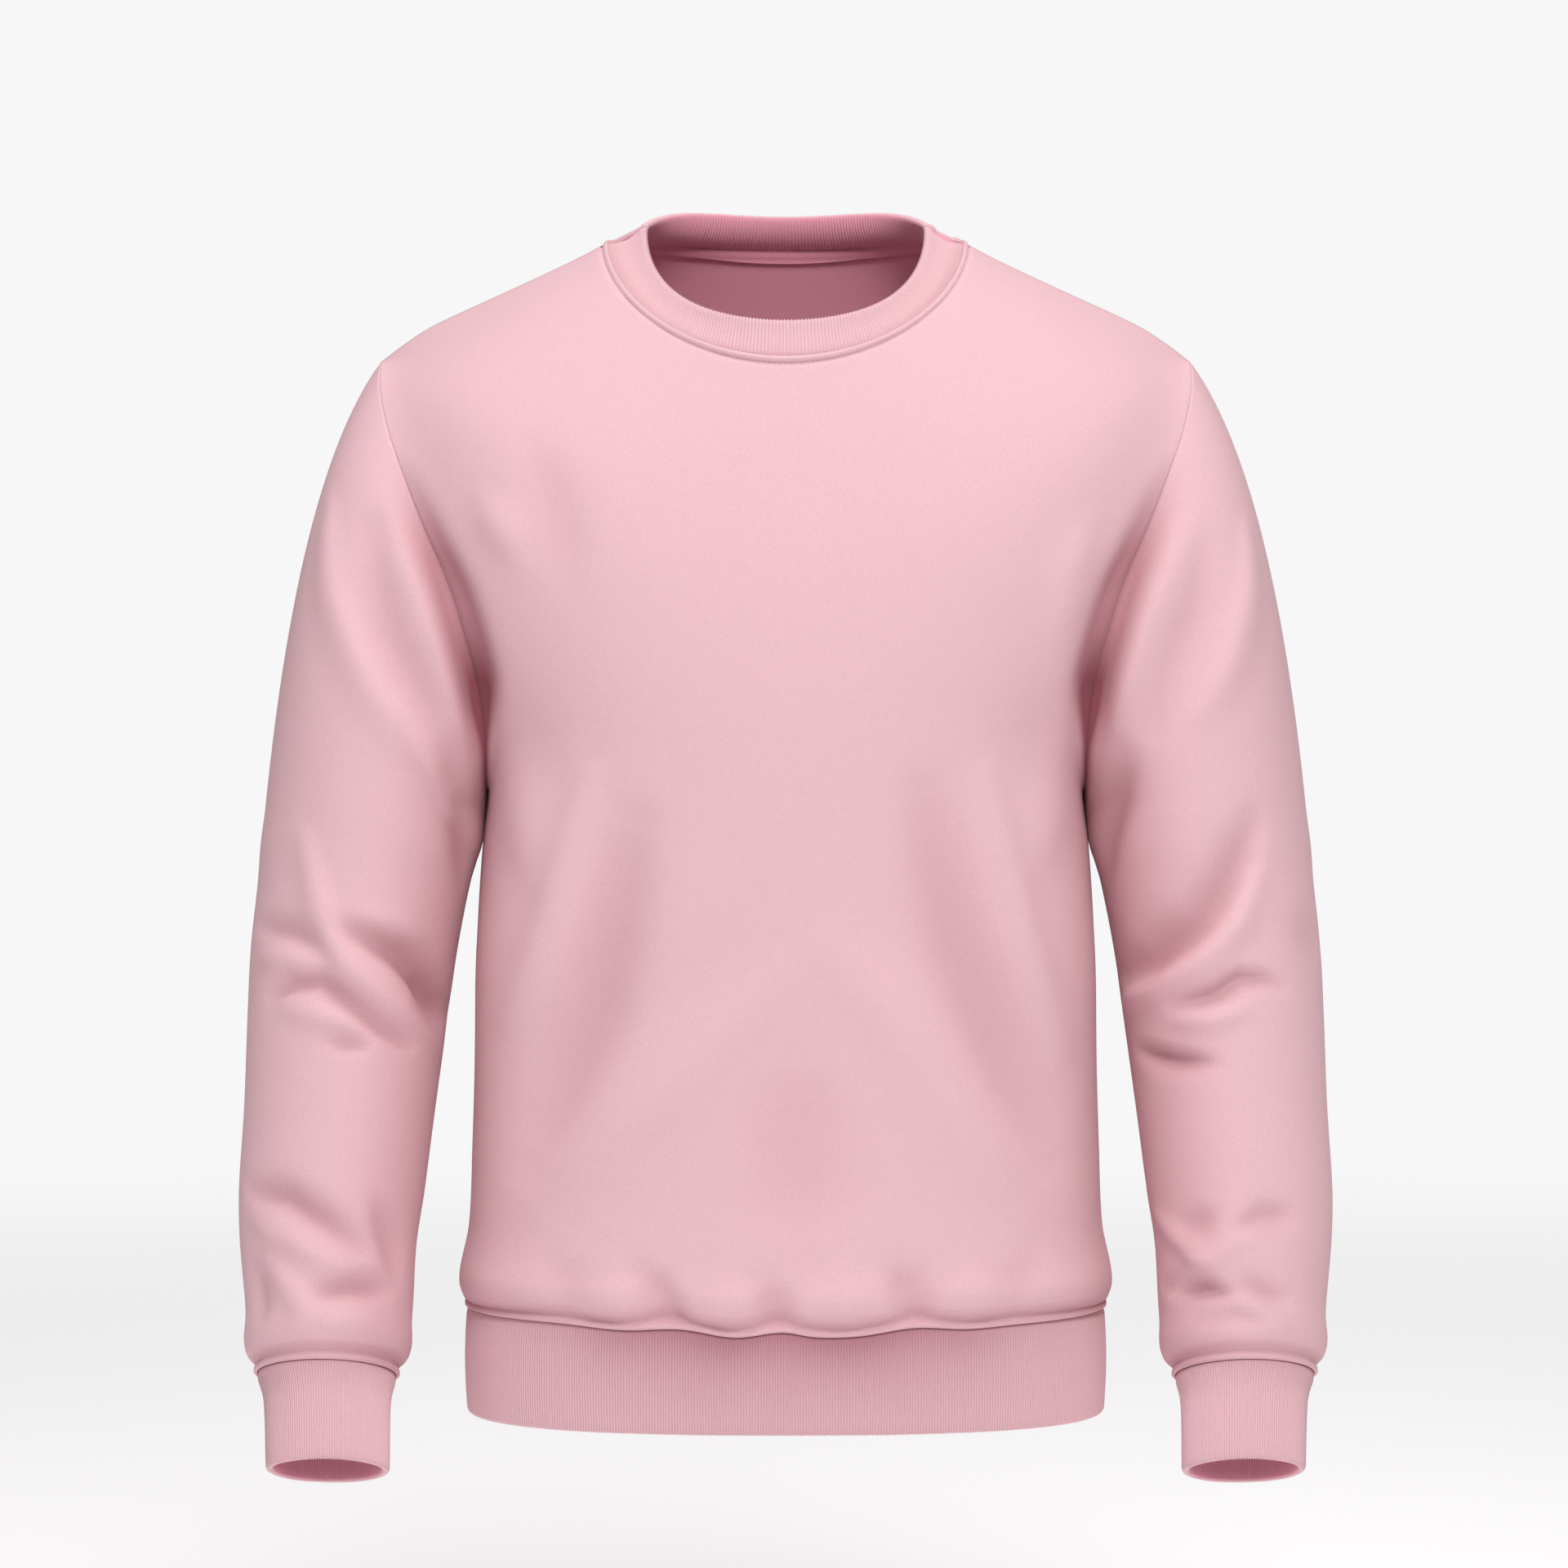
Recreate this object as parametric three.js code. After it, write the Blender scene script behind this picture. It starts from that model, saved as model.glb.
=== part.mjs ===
// A crewneck sweatshirt, filled out as worn, with nobody in it.
// Millimetres, +Z up, the front faces -Y, +X is the right side of a front view.
// The origin is the middle of the neck's base, level with the high points of the shoulders.
import * as THREE from 'three';

// Cloth
const FLEECE = 2.2;
const RIB_KNIT = 3.0;
const TAPE = 1.0;
const SEAM_GAP = 0.3;
const TAPE_CLEARANCE = 0.8;

// Main sizes of the garment
const NECK_HALF_WIDTH = 102;
const NECK_FRONT_Z = -77;
const NECK_BACK_Z = 4;
const SHOULDER_X = 232;
const SHOULDER_Z = -71.5;
const UNDERARM_Z = -318;
const HEM_SEAM_Z = -613;
const HEM_EDGE_Z = -672;
const HEM_BULGE = 1.2;
const COLLAR_WIDTH = 22;
const CUFF_LENGTH = 53.5;
const TAPE_WIDTH = 11;

// Half widths of the torso at its side seams
const SIDE = [
  { z: -613, x: 182.2 },
  { z: -598, x: 187.2 },
  { z: -566, x: 181.5 },
  { z: -520, x: 179.6 },
  { z: -475, x: 178.4 },
  { z: -428, x: 178 },
  { z: -395, x: 177.2 },
  { z: -348, x: 174.2 },
  { z: -318, x: 171 },
];

// Depth of the torso on its centre line, and how square its section is there
const DEPTH = [
  { z: -613, front: 117, back: 114, square: 2.5 },
  { z: -595, front: 122, back: 119, square: 2.5 },
  { z: -540, front: 119, back: 114, square: 2.5 },
  { z: -450, front: 117, back: 109, square: 2.45 },
  { z: -370, front: 119, back: 109, square: 2.4 },
  { z: -290, front: 121, back: 114, square: 2.35 },
  { z: -210, front: 117, back: 118, square: 2.3 },
  { z: -150, front: 107, back: 117, square: 2.25 },
  { z: -110, front: 97, back: 114, square: 2.15 },
  { z: -77, front: 87, back: 109, square: 2 },
  { z: -30, front: 80, back: 94, square: 2 },
  { z: 4, front: 76, back: 76, square: 2 },
];

// Armhole: how far out its seam lies, and how far it bows to the front and the back
const ARMHOLE = [
  { z: -318, x: 171 },
  { z: -290, x: 169.5 },
  { z: -263, x: 172.5 },
  { z: -230, x: 181 },
  { z: -200, x: 190.5 },
  { z: -170, x: 203.5 },
  { z: -145, x: 213.5 },
  { z: -115, x: 224.5 },
  { z: -90, x: 230.5 },
  { z: -71.5, x: 232 },
];
// Shoulder seam, from the armhole to the neck
const SHOULDER = [
  { x: 102, z: -3 },
  { x: 118, z: -11.5 },
  { x: 142, z: -23 },
  { x: 167, z: -34.5 },
  { x: 190, z: -45 },
  { x: 206, z: -53 },
  { x: 221, z: -63 },
  { x: 232, z: -71.5 },
];

// Waves of the hem seam across the front and the back
const HEM_WAVE = [
  { x: -172, front: 0, back: 0 },
  { x: -126, front: -0.4, back: -1.6 },
  { x: -90, front: -2.7, back: -3.4 },
  { x: -58, front: -1.6, back: -4.6 },
  { x: -28, front: -5.8, back: -2.2 },
  { x: -2, front: -3, back: -1.8 },
  { x: 17, front: -5.6, back: -4.2 },
  { x: 40, front: -5.2, back: -5 },
  { x: 71, front: -1, back: -2.4 },
  { x: 100, front: -2.4, back: -1.6 },
  { x: 130, front: -1.2, back: -1.8 },
  { x: 172, front: -0.4, back: 0 },
];
const HEM_WAVE_REACH = 45;

// Height on the centre line of the rows that end at the underarm and at the shoulder point
const CENTRE_AT_UNDERARM = -312;
const CENTRE_AT_SHOULDER = { front: -140, back: -80 };
const ARMHOLE_HALF_DEPTH = 69;
const ARMHOLE_EGG = 0.18;

// Sleeve below the armpit: centre line, half width across, half width front to back,
// and how far it points to the front, in degrees
const SLEEVE = [
  { z: -645, x: 256.3, y: -73, across: 39, deep: 38.5, lean: 21 },
  { z: -637, x: 256.3, y: -70, across: 43, deep: 42, lean: 21 },
  { z: -628, x: 256.2, y: -67, across: 44.8, deep: 45.5, lean: 20.5 },
  { z: -608, x: 256.3, y: -60, across: 46.8, deep: 49, lean: 19.5 },
  { z: -573, x: 258, y: -48.5, across: 49.6, deep: 52.5, lean: 17 },
  { z: -545, x: 257, y: -39, across: 52.2, deep: 55.5, lean: 14.5 },
  { z: -500, x: 253.8, y: -27, across: 54, deep: 59.5, lean: 12.5 },
  { z: -446, x: 250.2, y: -15, across: 57, deep: 64.5, lean: 9.5 },
  { z: -409, x: 247.4, y: -7, across: 58.9, deep: 68, lean: 6 },
  { z: -371, x: 242.1, y: -2, across: 60.8, deep: 70, lean: 3 },
  { z: -350, x: 238.8, y: 0, across: 62.8, deep: 72, lean: 1.5 },
  { z: -330, x: 236.3, y: 1, across: 62.8, deep: 73.5, lean: 0 },
];
const SLEEVE_TOP_Z = -330;
const SLEEVE_GATHER_Z = -608;
const SLEEVE_TAPER_ROWS = 3;
const SLEEVE_END_Z = -645;
const SLEEVE_FULLNESS = 0.8;

// A cuff's ring from the seam to the open end: size against the sleeve's last ring, and shift in
const CUFF = [
  { f: 0, size: 1, shift: 0 },
  { f: 0.1, size: 0.955, shift: 0.3 },
  { f: 0.28, size: 0.895, shift: 0.9 },
  { f: 1, size: 0.865, shift: 2.6 },
];

// Way in which the sleeve leaves the armhole seam at its top, front or back, and underarm
const LEAVE_TOP = new THREE.Vector3(0.6, 0, -0.8);
const LEAVE_FRONT = new THREE.Vector3(0.8, -0.2, -0.55);
const LEAVE_UNDER = new THREE.Vector3(0.45, 0, -0.89);
// Way in which the sleeve's cap comes down to the ring below the armpit
const ARRIVE = new THREE.Vector3(0.1, 0, -1).normalize();

// How far the collar leans in and stands up from its seam
const COLLAR_LEAN = { front: 7, side: 21, back: 10 };
const COLLAR_RISE = { front: 20.5, side: 10.5, back: 16 };
const NECK_BACK_RISE = 2.5;

// Steps of the walls
const SIDE_ROWS = 12;
const ARMHOLE_ROWS = 10;
const SHOULDER_ROWS = 5;
const FRONT_COLUMNS = 20;
const BACK_COLUMNS = 16;
const SLEEVE_CAP_ROWS = 10;
const SLEEVE_ROWS = 14;
const HEM_RIBS_A_STEP = 5;
const COLLAR_RIBS_A_STEP = 3;
const CUFF_RIBS_A_STEP = 2;
const RIB_HEIGHT = 0.8;

// Folds: a line from one point to another, its half width and its height, troughs below zero
const FRONT_FOLDS = [
  { x0: -104, z0: -290, x1: -121, z1: -475, width: 23, height: -7 },
  { x0: 82, z0: -325, x1: 122, z1: -480, width: 22, height: -7 },
  { x0: -128, z0: -385, x1: -158, z1: -460, width: 16, height: 4.5 },
  { x0: 114, z0: -345, x1: 156, z1: -462, width: 16, height: 4.5 },
  { x0: -6, z0: -415, x1: -94, z1: -545, width: 26, height: 5 },
  { x0: 42, z0: -425, x1: 106, z1: -540, width: 24, height: 4.5 },
  { x0: 4, z0: -500, x1: 10, z1: -560, width: 24, height: -4 },
  { x0: -150, z0: -140, x1: -132, z1: -195, width: 16, height: -3 },
  { x0: 150, z0: -155, x1: 138, z1: -205, width: 15, height: -3 },
  { x0: -56, z0: -586, x1: -50, z1: -598, width: 15, height: -5 },
  { x0: -4, z0: -588, x1: -3, z1: -600, width: 13, height: -4 },
  { x0: 68, z0: -584, x1: 72, z1: -598, width: 15, height: -5 },
];
const BACK_FOLDS = [
  { x0: -120, z0: -330, x1: -152, z1: -470, width: 18, height: 4 },
  { x0: -96, z0: -370, x1: -132, z1: -540, width: 21, height: -5 },
  { x0: 88, z0: -350, x1: 128, z1: -520, width: 21, height: -5 },
  { x0: 124, z0: -340, x1: 160, z1: -480, width: 17, height: 4 },
  { x0: -30, z0: -440, x1: -84, z1: -560, width: 24, height: 4 },
  { x0: 44, z0: -420, x1: 92, z1: -550, width: 22, height: 4 },
  { x0: -40, z0: -560, x1: 36, z1: -556, width: 16, height: -4 },
  { x0: -128, z0: -150, x1: -140, z1: -250, width: 20, height: -4 },
  { x0: 126, z0: -140, x1: 142, z1: -255, width: 20, height: -4 },
];

// Sleeve folds run round the sleeve by angle, from its outer line over the front
const LEFT_SLEEVE_FOLDS = [
  { turn0: 82, z0: -144, turn1: 114, z1: -237, width: 12, height: 4.5 },
  { turn0: 114, z0: -237, turn1: 153, z1: -315, width: 12, height: 4.5 },
  { turn0: 65, z0: -168, turn1: 133, z1: -308, width: 11, height: -4 },
  { turn0: 103, z0: -191, turn1: 141, z1: -260, width: 11, height: -5 },
  { turn0: 62, z0: -352, turn1: 88, z1: -406, width: 11, height: 5 },
  { turn0: 88, z0: -406, turn1: 158, z1: -463, width: 11, height: 5 },
  { turn0: 94, z0: -400, turn1: 149, z1: -428, width: 9, height: -8 },
  { turn0: 0, z0: -399, turn1: 86, z1: -409, width: 9, height: -6 },
  { turn0: 61, z0: -429, turn1: 118, z1: -452, width: 9, height: -7 },
  { turn0: 29, z0: -545, turn1: 122, z1: -571, width: 9, height: -6.5 },
  { turn0: 92, z0: -595, turn1: 132, z1: -597, width: 8, height: -5 },
  { turn0: 200, z0: -380, turn1: 300, z1: -398, width: 12, height: -6.5 },
  { turn0: 230, z0: -440, turn1: 330, z1: -424, width: 12, height: -6.5 },
  { turn0: 210, z0: -560, turn1: 300, z1: -548, width: 10, height: -5 },
  { turn0: 290, z0: -180, turn1: 262, z1: -310, width: 14, height: -5 },
];
const RIGHT_SLEEVE_FOLDS = [
  { turn0: 75, z0: -177, turn1: 123, z1: -283, width: 12, height: 4.5 },
  { turn0: 31, z0: -157, turn1: 87, z1: -278, width: 11, height: 3 },
  { turn0: 101, z0: -191, turn1: 157, z1: -306, width: 11, height: -5 },
  { turn0: 64, z0: -333, turn1: 93, z1: -383, width: 10, height: -7 },
  { turn0: 93, z0: -383, turn1: 150, z1: -437, width: 10, height: -7 },
  { turn0: 58, z0: -347, turn1: 128, z1: -434, width: 10, height: 5 },
  { turn0: 63, z0: -430, turn1: 134, z1: -440, width: 8, height: -6 },
  { turn0: 102, z0: -469, turn1: 151, z1: -460, width: 8, height: -4.5 },
  { turn0: 64, z0: -557, turn1: 134, z1: -556, width: 8, height: -4.5 },
  { turn0: 87, z0: -590, turn1: 135, z1: -590, width: 8, height: -5 },
  { turn0: 63, z0: -603, turn1: 114, z1: -606, width: 8, height: -4.5 },
  { turn0: 205, z0: -370, turn1: 300, z1: -400, width: 12, height: -6.5 },
  { turn0: 225, z0: -436, turn1: 325, z1: -446, width: 12, height: -6.5 },
  { turn0: 200, z0: -540, turn1: 290, z1: -562, width: 10, height: -5 },
  { turn0: 285, z0: -170, turn1: 258, z1: -300, width: 14, height: -5 },
];
const SLEEVE_FOLD_RADIUS = 56;
const EDGE_FADE = 26;

// The upper body is eased smooth above the waist by averaging each point with its neighbours
const EASE_PASSES = 7;
const EASE_FROM_Z = -430;
const EASE_FULL_Z = -300;

const UP = new THREE.Vector3(0, 0, 1);
const ACROSS = new THREE.Vector3(1, 0, 0);
const FORWARD = new THREE.Vector3(0, -1, 0);

// Direction square to the plane in which the armhole mostly lies, away from the torso
const ARMHOLE_OUT = new THREE.Vector3(
  SHOULDER_Z - UNDERARM_Z,
  0,
  ARMHOLE[0].x - SHOULDER_X,
).normalize();

// Smooth value of one column of a table, whose rows rise by the key's column
function lookUp(rows, column, value, key = 'z') {
  const last = rows.length - 1;
  const place = THREE.MathUtils.clamp(value, rows[0][key], rows[last][key]);
  let i = 0;
  while (i < last - 1 && place > rows[i + 1][key]) {
    i += 1;
  }
  const slopeAt = (k) => {
    const before = rows[Math.max(k - 1, 0)];
    const after = rows[Math.min(k + 1, last)];
    return (after[column] - before[column]) / (after[key] - before[key]);
  };
  const span = rows[i + 1][key] - rows[i][key];
  const f = (place - rows[i][key]) / span;
  const start = 2 * f ** 3 - 3 * f ** 2 + 1;
  const leave = f ** 3 - 2 * f ** 2 + f;
  const arrive = f ** 3 - f ** 2;
  return start * rows[i][column] + leave * span * slopeAt(i)
    + (1 - start) * rows[i + 1][column] + arrive * span * slopeAt(i + 1);
}

// Points at even distances along a path given as a function of 0 to 1
function evenly(path, count) {
  const fine = 240;
  const dense = [];
  for (let i = 0; i <= fine; i += 1) {
    dense.push(path(i / fine));
  }
  const run = [0];
  for (let i = 1; i <= fine; i += 1) {
    run.push(run[i - 1] + dense[i].distanceTo(dense[i - 1]));
  }
  const points = [];
  let k = 0;
  for (let i = 0; i <= count; i += 1) {
    const goal = run[fine] * i / count;
    while (k < fine - 1 && run[k + 1] < goal) {
      k += 1;
    }
    const f = (goal - run[k]) / (run[k + 1] - run[k]);
    points.push(dense[k].clone().lerp(dense[k + 1], f));
  }
  return points;
}

// Height of the folds at a point of an unrolled piece
function foldHeight(folds, a, b) {
  let height = 0;
  for (const fold of folds) {
    const da = fold.a1 - fold.a0;
    const db = fold.b1 - fold.b0;
    const along = ((a - fold.a0) * da + (b - fold.b0) * db) / (da * da + db * db);
    const f = THREE.MathUtils.clamp(along, 0, 1);
    const away = Math.hypot(a - fold.a0 - f * da, b - fold.b0 - f * db) / fold.width;
    height += fold.height * Math.exp(-away * away);
  }
  return height;
}

// A closed body from a grid of outer points and the grid of inner points under them.
// A round grid joins its last column to its first.
function shellGeometry(outer, inner, round) {
  const rows = outer.length;
  const columns = outer[0].length;
  const positions = [];
  const indices = [];
  for (const side of [outer, inner]) {
    for (const row of side) {
      for (const point of row) {
        positions.push(point.x, point.y, point.z);
      }
    }
  }
  const out = (i, j) => i * columns + (j % columns);
  const within = (i, j) => rows * columns + out(i, j);
  const quad = (a, b, c, d) => indices.push(a, b, c, a, c, d);
  const lastColumn = round ? columns : columns - 1;
  for (let i = 0; i < rows - 1; i += 1) {
    for (let j = 0; j < lastColumn; j += 1) {
      quad(out(i, j), out(i, j + 1), out(i + 1, j + 1), out(i + 1, j));
      quad(within(i, j), within(i + 1, j), within(i + 1, j + 1), within(i, j + 1));
    }
  }
  for (let j = 0; j < lastColumn; j += 1) {
    quad(within(0, j), within(0, j + 1), out(0, j + 1), out(0, j));
    quad(out(rows - 1, j), out(rows - 1, j + 1), within(rows - 1, j + 1), within(rows - 1, j));
  }
  if (!round) {
    for (let i = 0; i < rows - 1; i += 1) {
      quad(out(i, 0), out(i + 1, 0), within(i + 1, 0), within(i, 0));
      quad(within(i, lastColumn), within(i + 1, lastColumn), out(i + 1, lastColumn), out(i, lastColumn));
    }
  }
  return finishGeometry(positions, indices);
}

// A closed ribbed band: two outer points to each rib, and one inner point under each rib
function bandGeometry(outer, inner) {
  const outerCount = outer[0].length;
  const innerCount = inner[0].length;
  const positions = [];
  const indices = [];
  for (const row of [...outer, ...inner]) {
    for (const point of row) {
      positions.push(point.x, point.y, point.z);
    }
  }
  const out = (i, j) => i * outerCount + (j % outerCount);
  const innerStart = outer.length * outerCount;
  const within = (i, j) => innerStart + i * innerCount + (j % innerCount);
  for (let i = 0; i < outer.length - 1; i += 1) {
    for (let j = 0; j < outerCount; j += 1) {
      indices.push(out(i, j), out(i, j + 1), out(i + 1, j + 1));
      indices.push(out(i, j), out(i + 1, j + 1), out(i + 1, j));
    }
  }
  for (let i = 0; i < inner.length - 1; i += 1) {
    for (let j = 0; j < innerCount; j += 1) {
      indices.push(within(i, j), within(i + 1, j + 1), within(i, j + 1));
      indices.push(within(i, j), within(i + 1, j), within(i + 1, j + 1));
    }
  }
  const lastOut = outer.length - 1;
  const lastIn = inner.length - 1;
  for (let j = 0; j < innerCount; j += 1) {
    const left = 2 * j;
    indices.push(out(0, left + 1), out(0, left), within(0, j));
    indices.push(out(0, left + 1), within(0, j), within(0, j + 1));
    indices.push(out(0, left + 2), out(0, left + 1), within(0, j + 1));
    indices.push(out(lastOut, left), out(lastOut, left + 1), within(lastIn, j));
    indices.push(within(lastIn, j), out(lastOut, left + 1), within(lastIn, j + 1));
    indices.push(out(lastOut, left + 1), out(lastOut, left + 2), within(lastIn, j + 1));
  }
  return finishGeometry(positions, indices);
}

// A geometry whose faces point out of the solid
function finishGeometry(positions, indices) {
  const corner = (k) => new THREE.Vector3().fromArray(positions, indices[k] * 3);
  let volume = 0;
  for (let k = 0; k < indices.length; k += 3) {
    volume += corner(k).dot(corner(k + 1).cross(corner(k + 2)));
  }
  if (volume < 0) {
    indices.reverse();
  }
  const geometry = new THREE.BufferGeometry();
  geometry.setAttribute('position', new THREE.Float32BufferAttribute(positions, 3));
  geometry.setIndex(indices);
  geometry.computeVertexNormals();
  return geometry;
}

// Outward direction at each point of a grid, from its neighbours along both ways
function gridNormals(grid, round, facing) {
  const lastRow = grid.length - 1;
  const count = grid[0].length;
  const normals = grid.map((row, i) => row.map((point, j) => {
    const above = grid[Math.min(i + 1, lastRow)][j];
    const below = grid[Math.max(i - 1, 0)][j];
    const after = round ? row[(j + 1) % count] : row[Math.min(j + 1, count - 1)];
    const before = round ? row[(j + count - 1) % count] : row[Math.max(j - 1, 0)];
    return above.clone().sub(below).cross(after.clone().sub(before)).normalize();
  }));
  const sample = normals[facing.row][facing.column];
  const sign = sample.dot(facing.way) < 0 ? -1 : 1;
  return normals.map((row) => row.map((normal) => normal.multiplyScalar(sign)));
}

// Points of a grid moved along their directions
function moved(grid, normals, distance) {
  return grid.map((row, i) => row.map(
    (point, j) => point.clone().addScaledVector(normals[i][j], distance),
  ));
}

// A point of the armhole seam: no turn is the shoulder, a quarter is the front, a half the underarm.
// The side is 1 for +X and -1 for -X.
function armholePoint(turn, side) {
  const middle = (SHOULDER_Z + UNDERARM_Z) / 2;
  const reach = (SHOULDER_Z - UNDERARM_Z) / 2;
  const z = middle + reach * Math.cos(turn);
  const bow = ARMHOLE_HALF_DEPTH * Math.sin(turn) * (1 - ARMHOLE_EGG * Math.cos(turn));
  return new THREE.Vector3(side * lookUp(ARMHOLE, 'x', z), -bow, z);
}

// Direction out of the cloth at the armhole seam, square to the seam
function armholeNormal(turn, side) {
  const small = 0.01;
  const along = armholePoint(turn + small, side).sub(armholePoint(turn - small, side));
  const out = ARMHOLE_OUT.clone();
  out.x *= side;
  const normal = along.cross(out).normalize();
  const middle = armholePoint(0, side).lerp(armholePoint(Math.PI, side), 0.5);
  const away = armholePoint(turn, side).sub(middle);
  return normal.dot(away) < 0 ? normal.negate() : normal;
}

// The rows of a front or back panel: where each meets its side edge and its centre line
function panelRows(isFront) {
  const centreTop = isFront ? NECK_FRONT_Z : NECK_BACK_Z;
  const centreShoulder = isFront ? CENTRE_AT_SHOULDER.front : CENTRE_AT_SHOULDER.back;
  const rows = [];
  for (let i = 0; i < SIDE_ROWS; i += 1) {
    const f = i / SIDE_ROWS;
    const z = THREE.MathUtils.lerp(HEM_SEAM_Z, UNDERARM_Z, f);
    const centre = THREE.MathUtils.lerp(HEM_SEAM_Z, CENTRE_AT_UNDERARM, f);
    rows.push({ edge: new THREE.Vector3(lookUp(SIDE, 'x', z), 0, z), centre, turn: null, neck: 0 });
  }
  for (let i = 0; i <= ARMHOLE_ROWS; i += 1) {
    const f = i / ARMHOLE_ROWS;
    const turn = Math.PI * (isFront ? 1 - f : 1 + f);
    const centre = THREE.MathUtils.lerp(CENTRE_AT_UNDERARM, centreShoulder, f);
    rows.push({ edge: armholePoint(turn, 1), centre, turn, neck: 0 });
  }
  for (let i = 1; i <= SHOULDER_ROWS; i += 1) {
    const f = i / SHOULDER_ROWS;
    const x = THREE.MathUtils.lerp(SHOULDER_X, NECK_HALF_WIDTH, f);
    const edge = new THREE.Vector3(x, 0, lookUp(SHOULDER, 'z', x, 'x'));
    const centre = THREE.MathUtils.lerp(centreShoulder, centreTop, f);
    rows.push({ edge, centre, turn: null, neck: f });
  }
  return rows;
}

// One row of a panel from its centre line to its edge on the +X side, at even steps
function panelRowPoints(row, isFront, steps) {
  const way = isFront ? -1 : 1;
  const depth = lookUp(DEPTH, isFront ? 'front' : 'back', row.centre);
  const square = lookUp(DEPTH, 'square', row.centre);
  const edgeDepth = Math.abs(row.edge.y) / depth;
  const full = row.edge.x / (1 - edgeDepth ** square) ** (1 / square);
  const lastAngle = Math.asin((row.edge.x / full) ** (square / 2));
  const rise = THREE.MathUtils.lerp(2, isFront ? 1.15 : 0.6, row.neck);
  const bump = isFront ? 0 : NECK_BACK_RISE * row.neck ** 3;
  const path = (f) => {
    const angle = f * lastAngle;
    return new THREE.Vector3(
      full * Math.sin(angle) ** (2 / square),
      way * depth * Math.max(Math.cos(angle), 0) ** (2 / square),
      row.edge.z + (row.centre - row.edge.z) * Math.max(Math.cos(f * Math.PI / 2), 0) ** rise
        + bump * Math.sin(f * Math.PI) ** 2,
    );
  };
  const points = evenly(path, steps);
  points[steps].copy(row.edge);
  return points;
}

// A grid whose upper inner points are averaged with their neighbours, pass by pass
function eased(grid) {
  let now = grid;
  for (let pass = 0; pass < EASE_PASSES; pass += 1) {
    const before = now;
    now = before.map((row, i) => row.map((point, j) => {
      if (i === 0 || j === 0 || i === before.length - 1 || j === row.length - 1) {
        return point;
      }
      const mean = row[j - 1].clone().add(row[j + 1]).add(before[i - 1][j]).add(before[i + 1][j]);
      const share = 0.5 * THREE.MathUtils.smoothstep(point.z, EASE_FROM_Z, EASE_FULL_Z);
      return point.clone().lerp(mean.multiplyScalar(0.25), share);
    }));
  }
  return now;
}

// A panel's grid with the hem seam's waves, which fade out up the panel
function wavedHem(grid, isFront) {
  return grid.map((row) => row.map((point, j) => {
    const reach = (point.z - grid[0][j].z) / HEM_WAVE_REACH;
    const wave = lookUp(HEM_WAVE, isFront ? 'front' : 'back', point.x, 'x');
    return point.clone().addScaledVector(UP, wave * (1 - THREE.MathUtils.smoothstep(reach, 0, 1)));
  }));
}

// The whole outer grid of a panel, its directions out, and its inner grid
function panelGrids(isFront, columns, folds) {
  const half = columns / 2;
  const rows = panelRows(isFront);
  const flat = folds.map((fold) => ({
    a0: fold.x0, b0: fold.z0, a1: fold.x1, b1: fold.z1, width: fold.width, height: fold.height,
  }));
  const smooth = eased(rows.map((row) => {
    const right = panelRowPoints(row, isFront, half);
    const left = right.slice(1).reverse().map((p) => new THREE.Vector3(-p.x, p.y, p.z));
    return [...left, ...right];
  }));
  const plain = wavedHem(smooth, isFront);
  const way = isFront ? FORWARD : FORWARD.clone().negate();
  const facing = { row: 10, column: half, way };
  const plainNormals = gridNormals(plain, false, facing);
  const folded = plain.map((row, i) => row.map((point, j) => {
    const toEdge = Math.min(point.distanceTo(row[0]), point.distanceTo(row[columns]));
    const toNeck = point.distanceTo(plain[rows.length - 1][j]);
    const toHem = point.distanceTo(plain[0][j]);
    const fade = THREE.MathUtils.smoothstep(Math.min(toEdge, toNeck), 0, EDGE_FADE)
      * THREE.MathUtils.smoothstep(toHem, 0, EDGE_FADE / 2);
    const height = fade * foldHeight(flat, point.x, point.z);
    return point.clone().addScaledVector(plainNormals[i][j], height);
  }));
  const normals = gridNormals(folded, false, facing);
  rows.forEach((row, i) => {
    for (const side of [-1, 1]) {
      const j = side < 0 ? 0 : columns;
      normals[i][j].copy(edgeNormal(rows, i, side));
      const edge = folded[i][j];
      if (row.turn !== null) {
        edge.x -= side * ARMHOLE_OUT.x * SEAM_GAP / 2;
        edge.z -= ARMHOLE_OUT.z * SEAM_GAP / 2;
      }
      if (Math.abs(row.edge.y) < 0.001) {
        edge.y = way.y * SEAM_GAP / 2;
      }
    }
  });
  const outer = folded;
  for (const point of outer[0]) {
    point.z += SEAM_GAP / 2;
  }
  return { outer, normals, inner: moved(outer, normals, -FLEECE) };
}

// Direction out of the cloth along a side seam, an armhole or a shoulder seam
function edgeNormal(rows, i, side) {
  const row = rows[i];
  if (row.turn !== null) {
    return armholeNormal(row.turn, side);
  }
  const above = rows[Math.min(i + 1, rows.length - 1)].edge;
  const below = rows[Math.max(i - 1, 0)].edge;
  const along = above.clone().sub(below).normalize();
  return new THREE.Vector3(side * along.z, 0, -along.x);
}

// Centre, directions and half widths of the sleeve's ring at a height, on the +X side
function sleeveRing(z) {
  const centre = new THREE.Vector3(lookUp(SLEEVE, 'x', z), lookUp(SLEEVE, 'y', z), z);
  const lean = THREE.MathUtils.degToRad(lookUp(SLEEVE, 'lean', z));
  const along = new THREE.Vector3(0, -Math.sin(lean), -Math.cos(lean));
  const front = new THREE.Vector3(0, -Math.cos(lean), Math.sin(lean));
  const across = lookUp(SLEEVE, 'across', z);
  const deep = lookUp(SLEEVE, 'deep', z);
  return { centre, along, out: ACROSS, front, across, deep };
}

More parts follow.
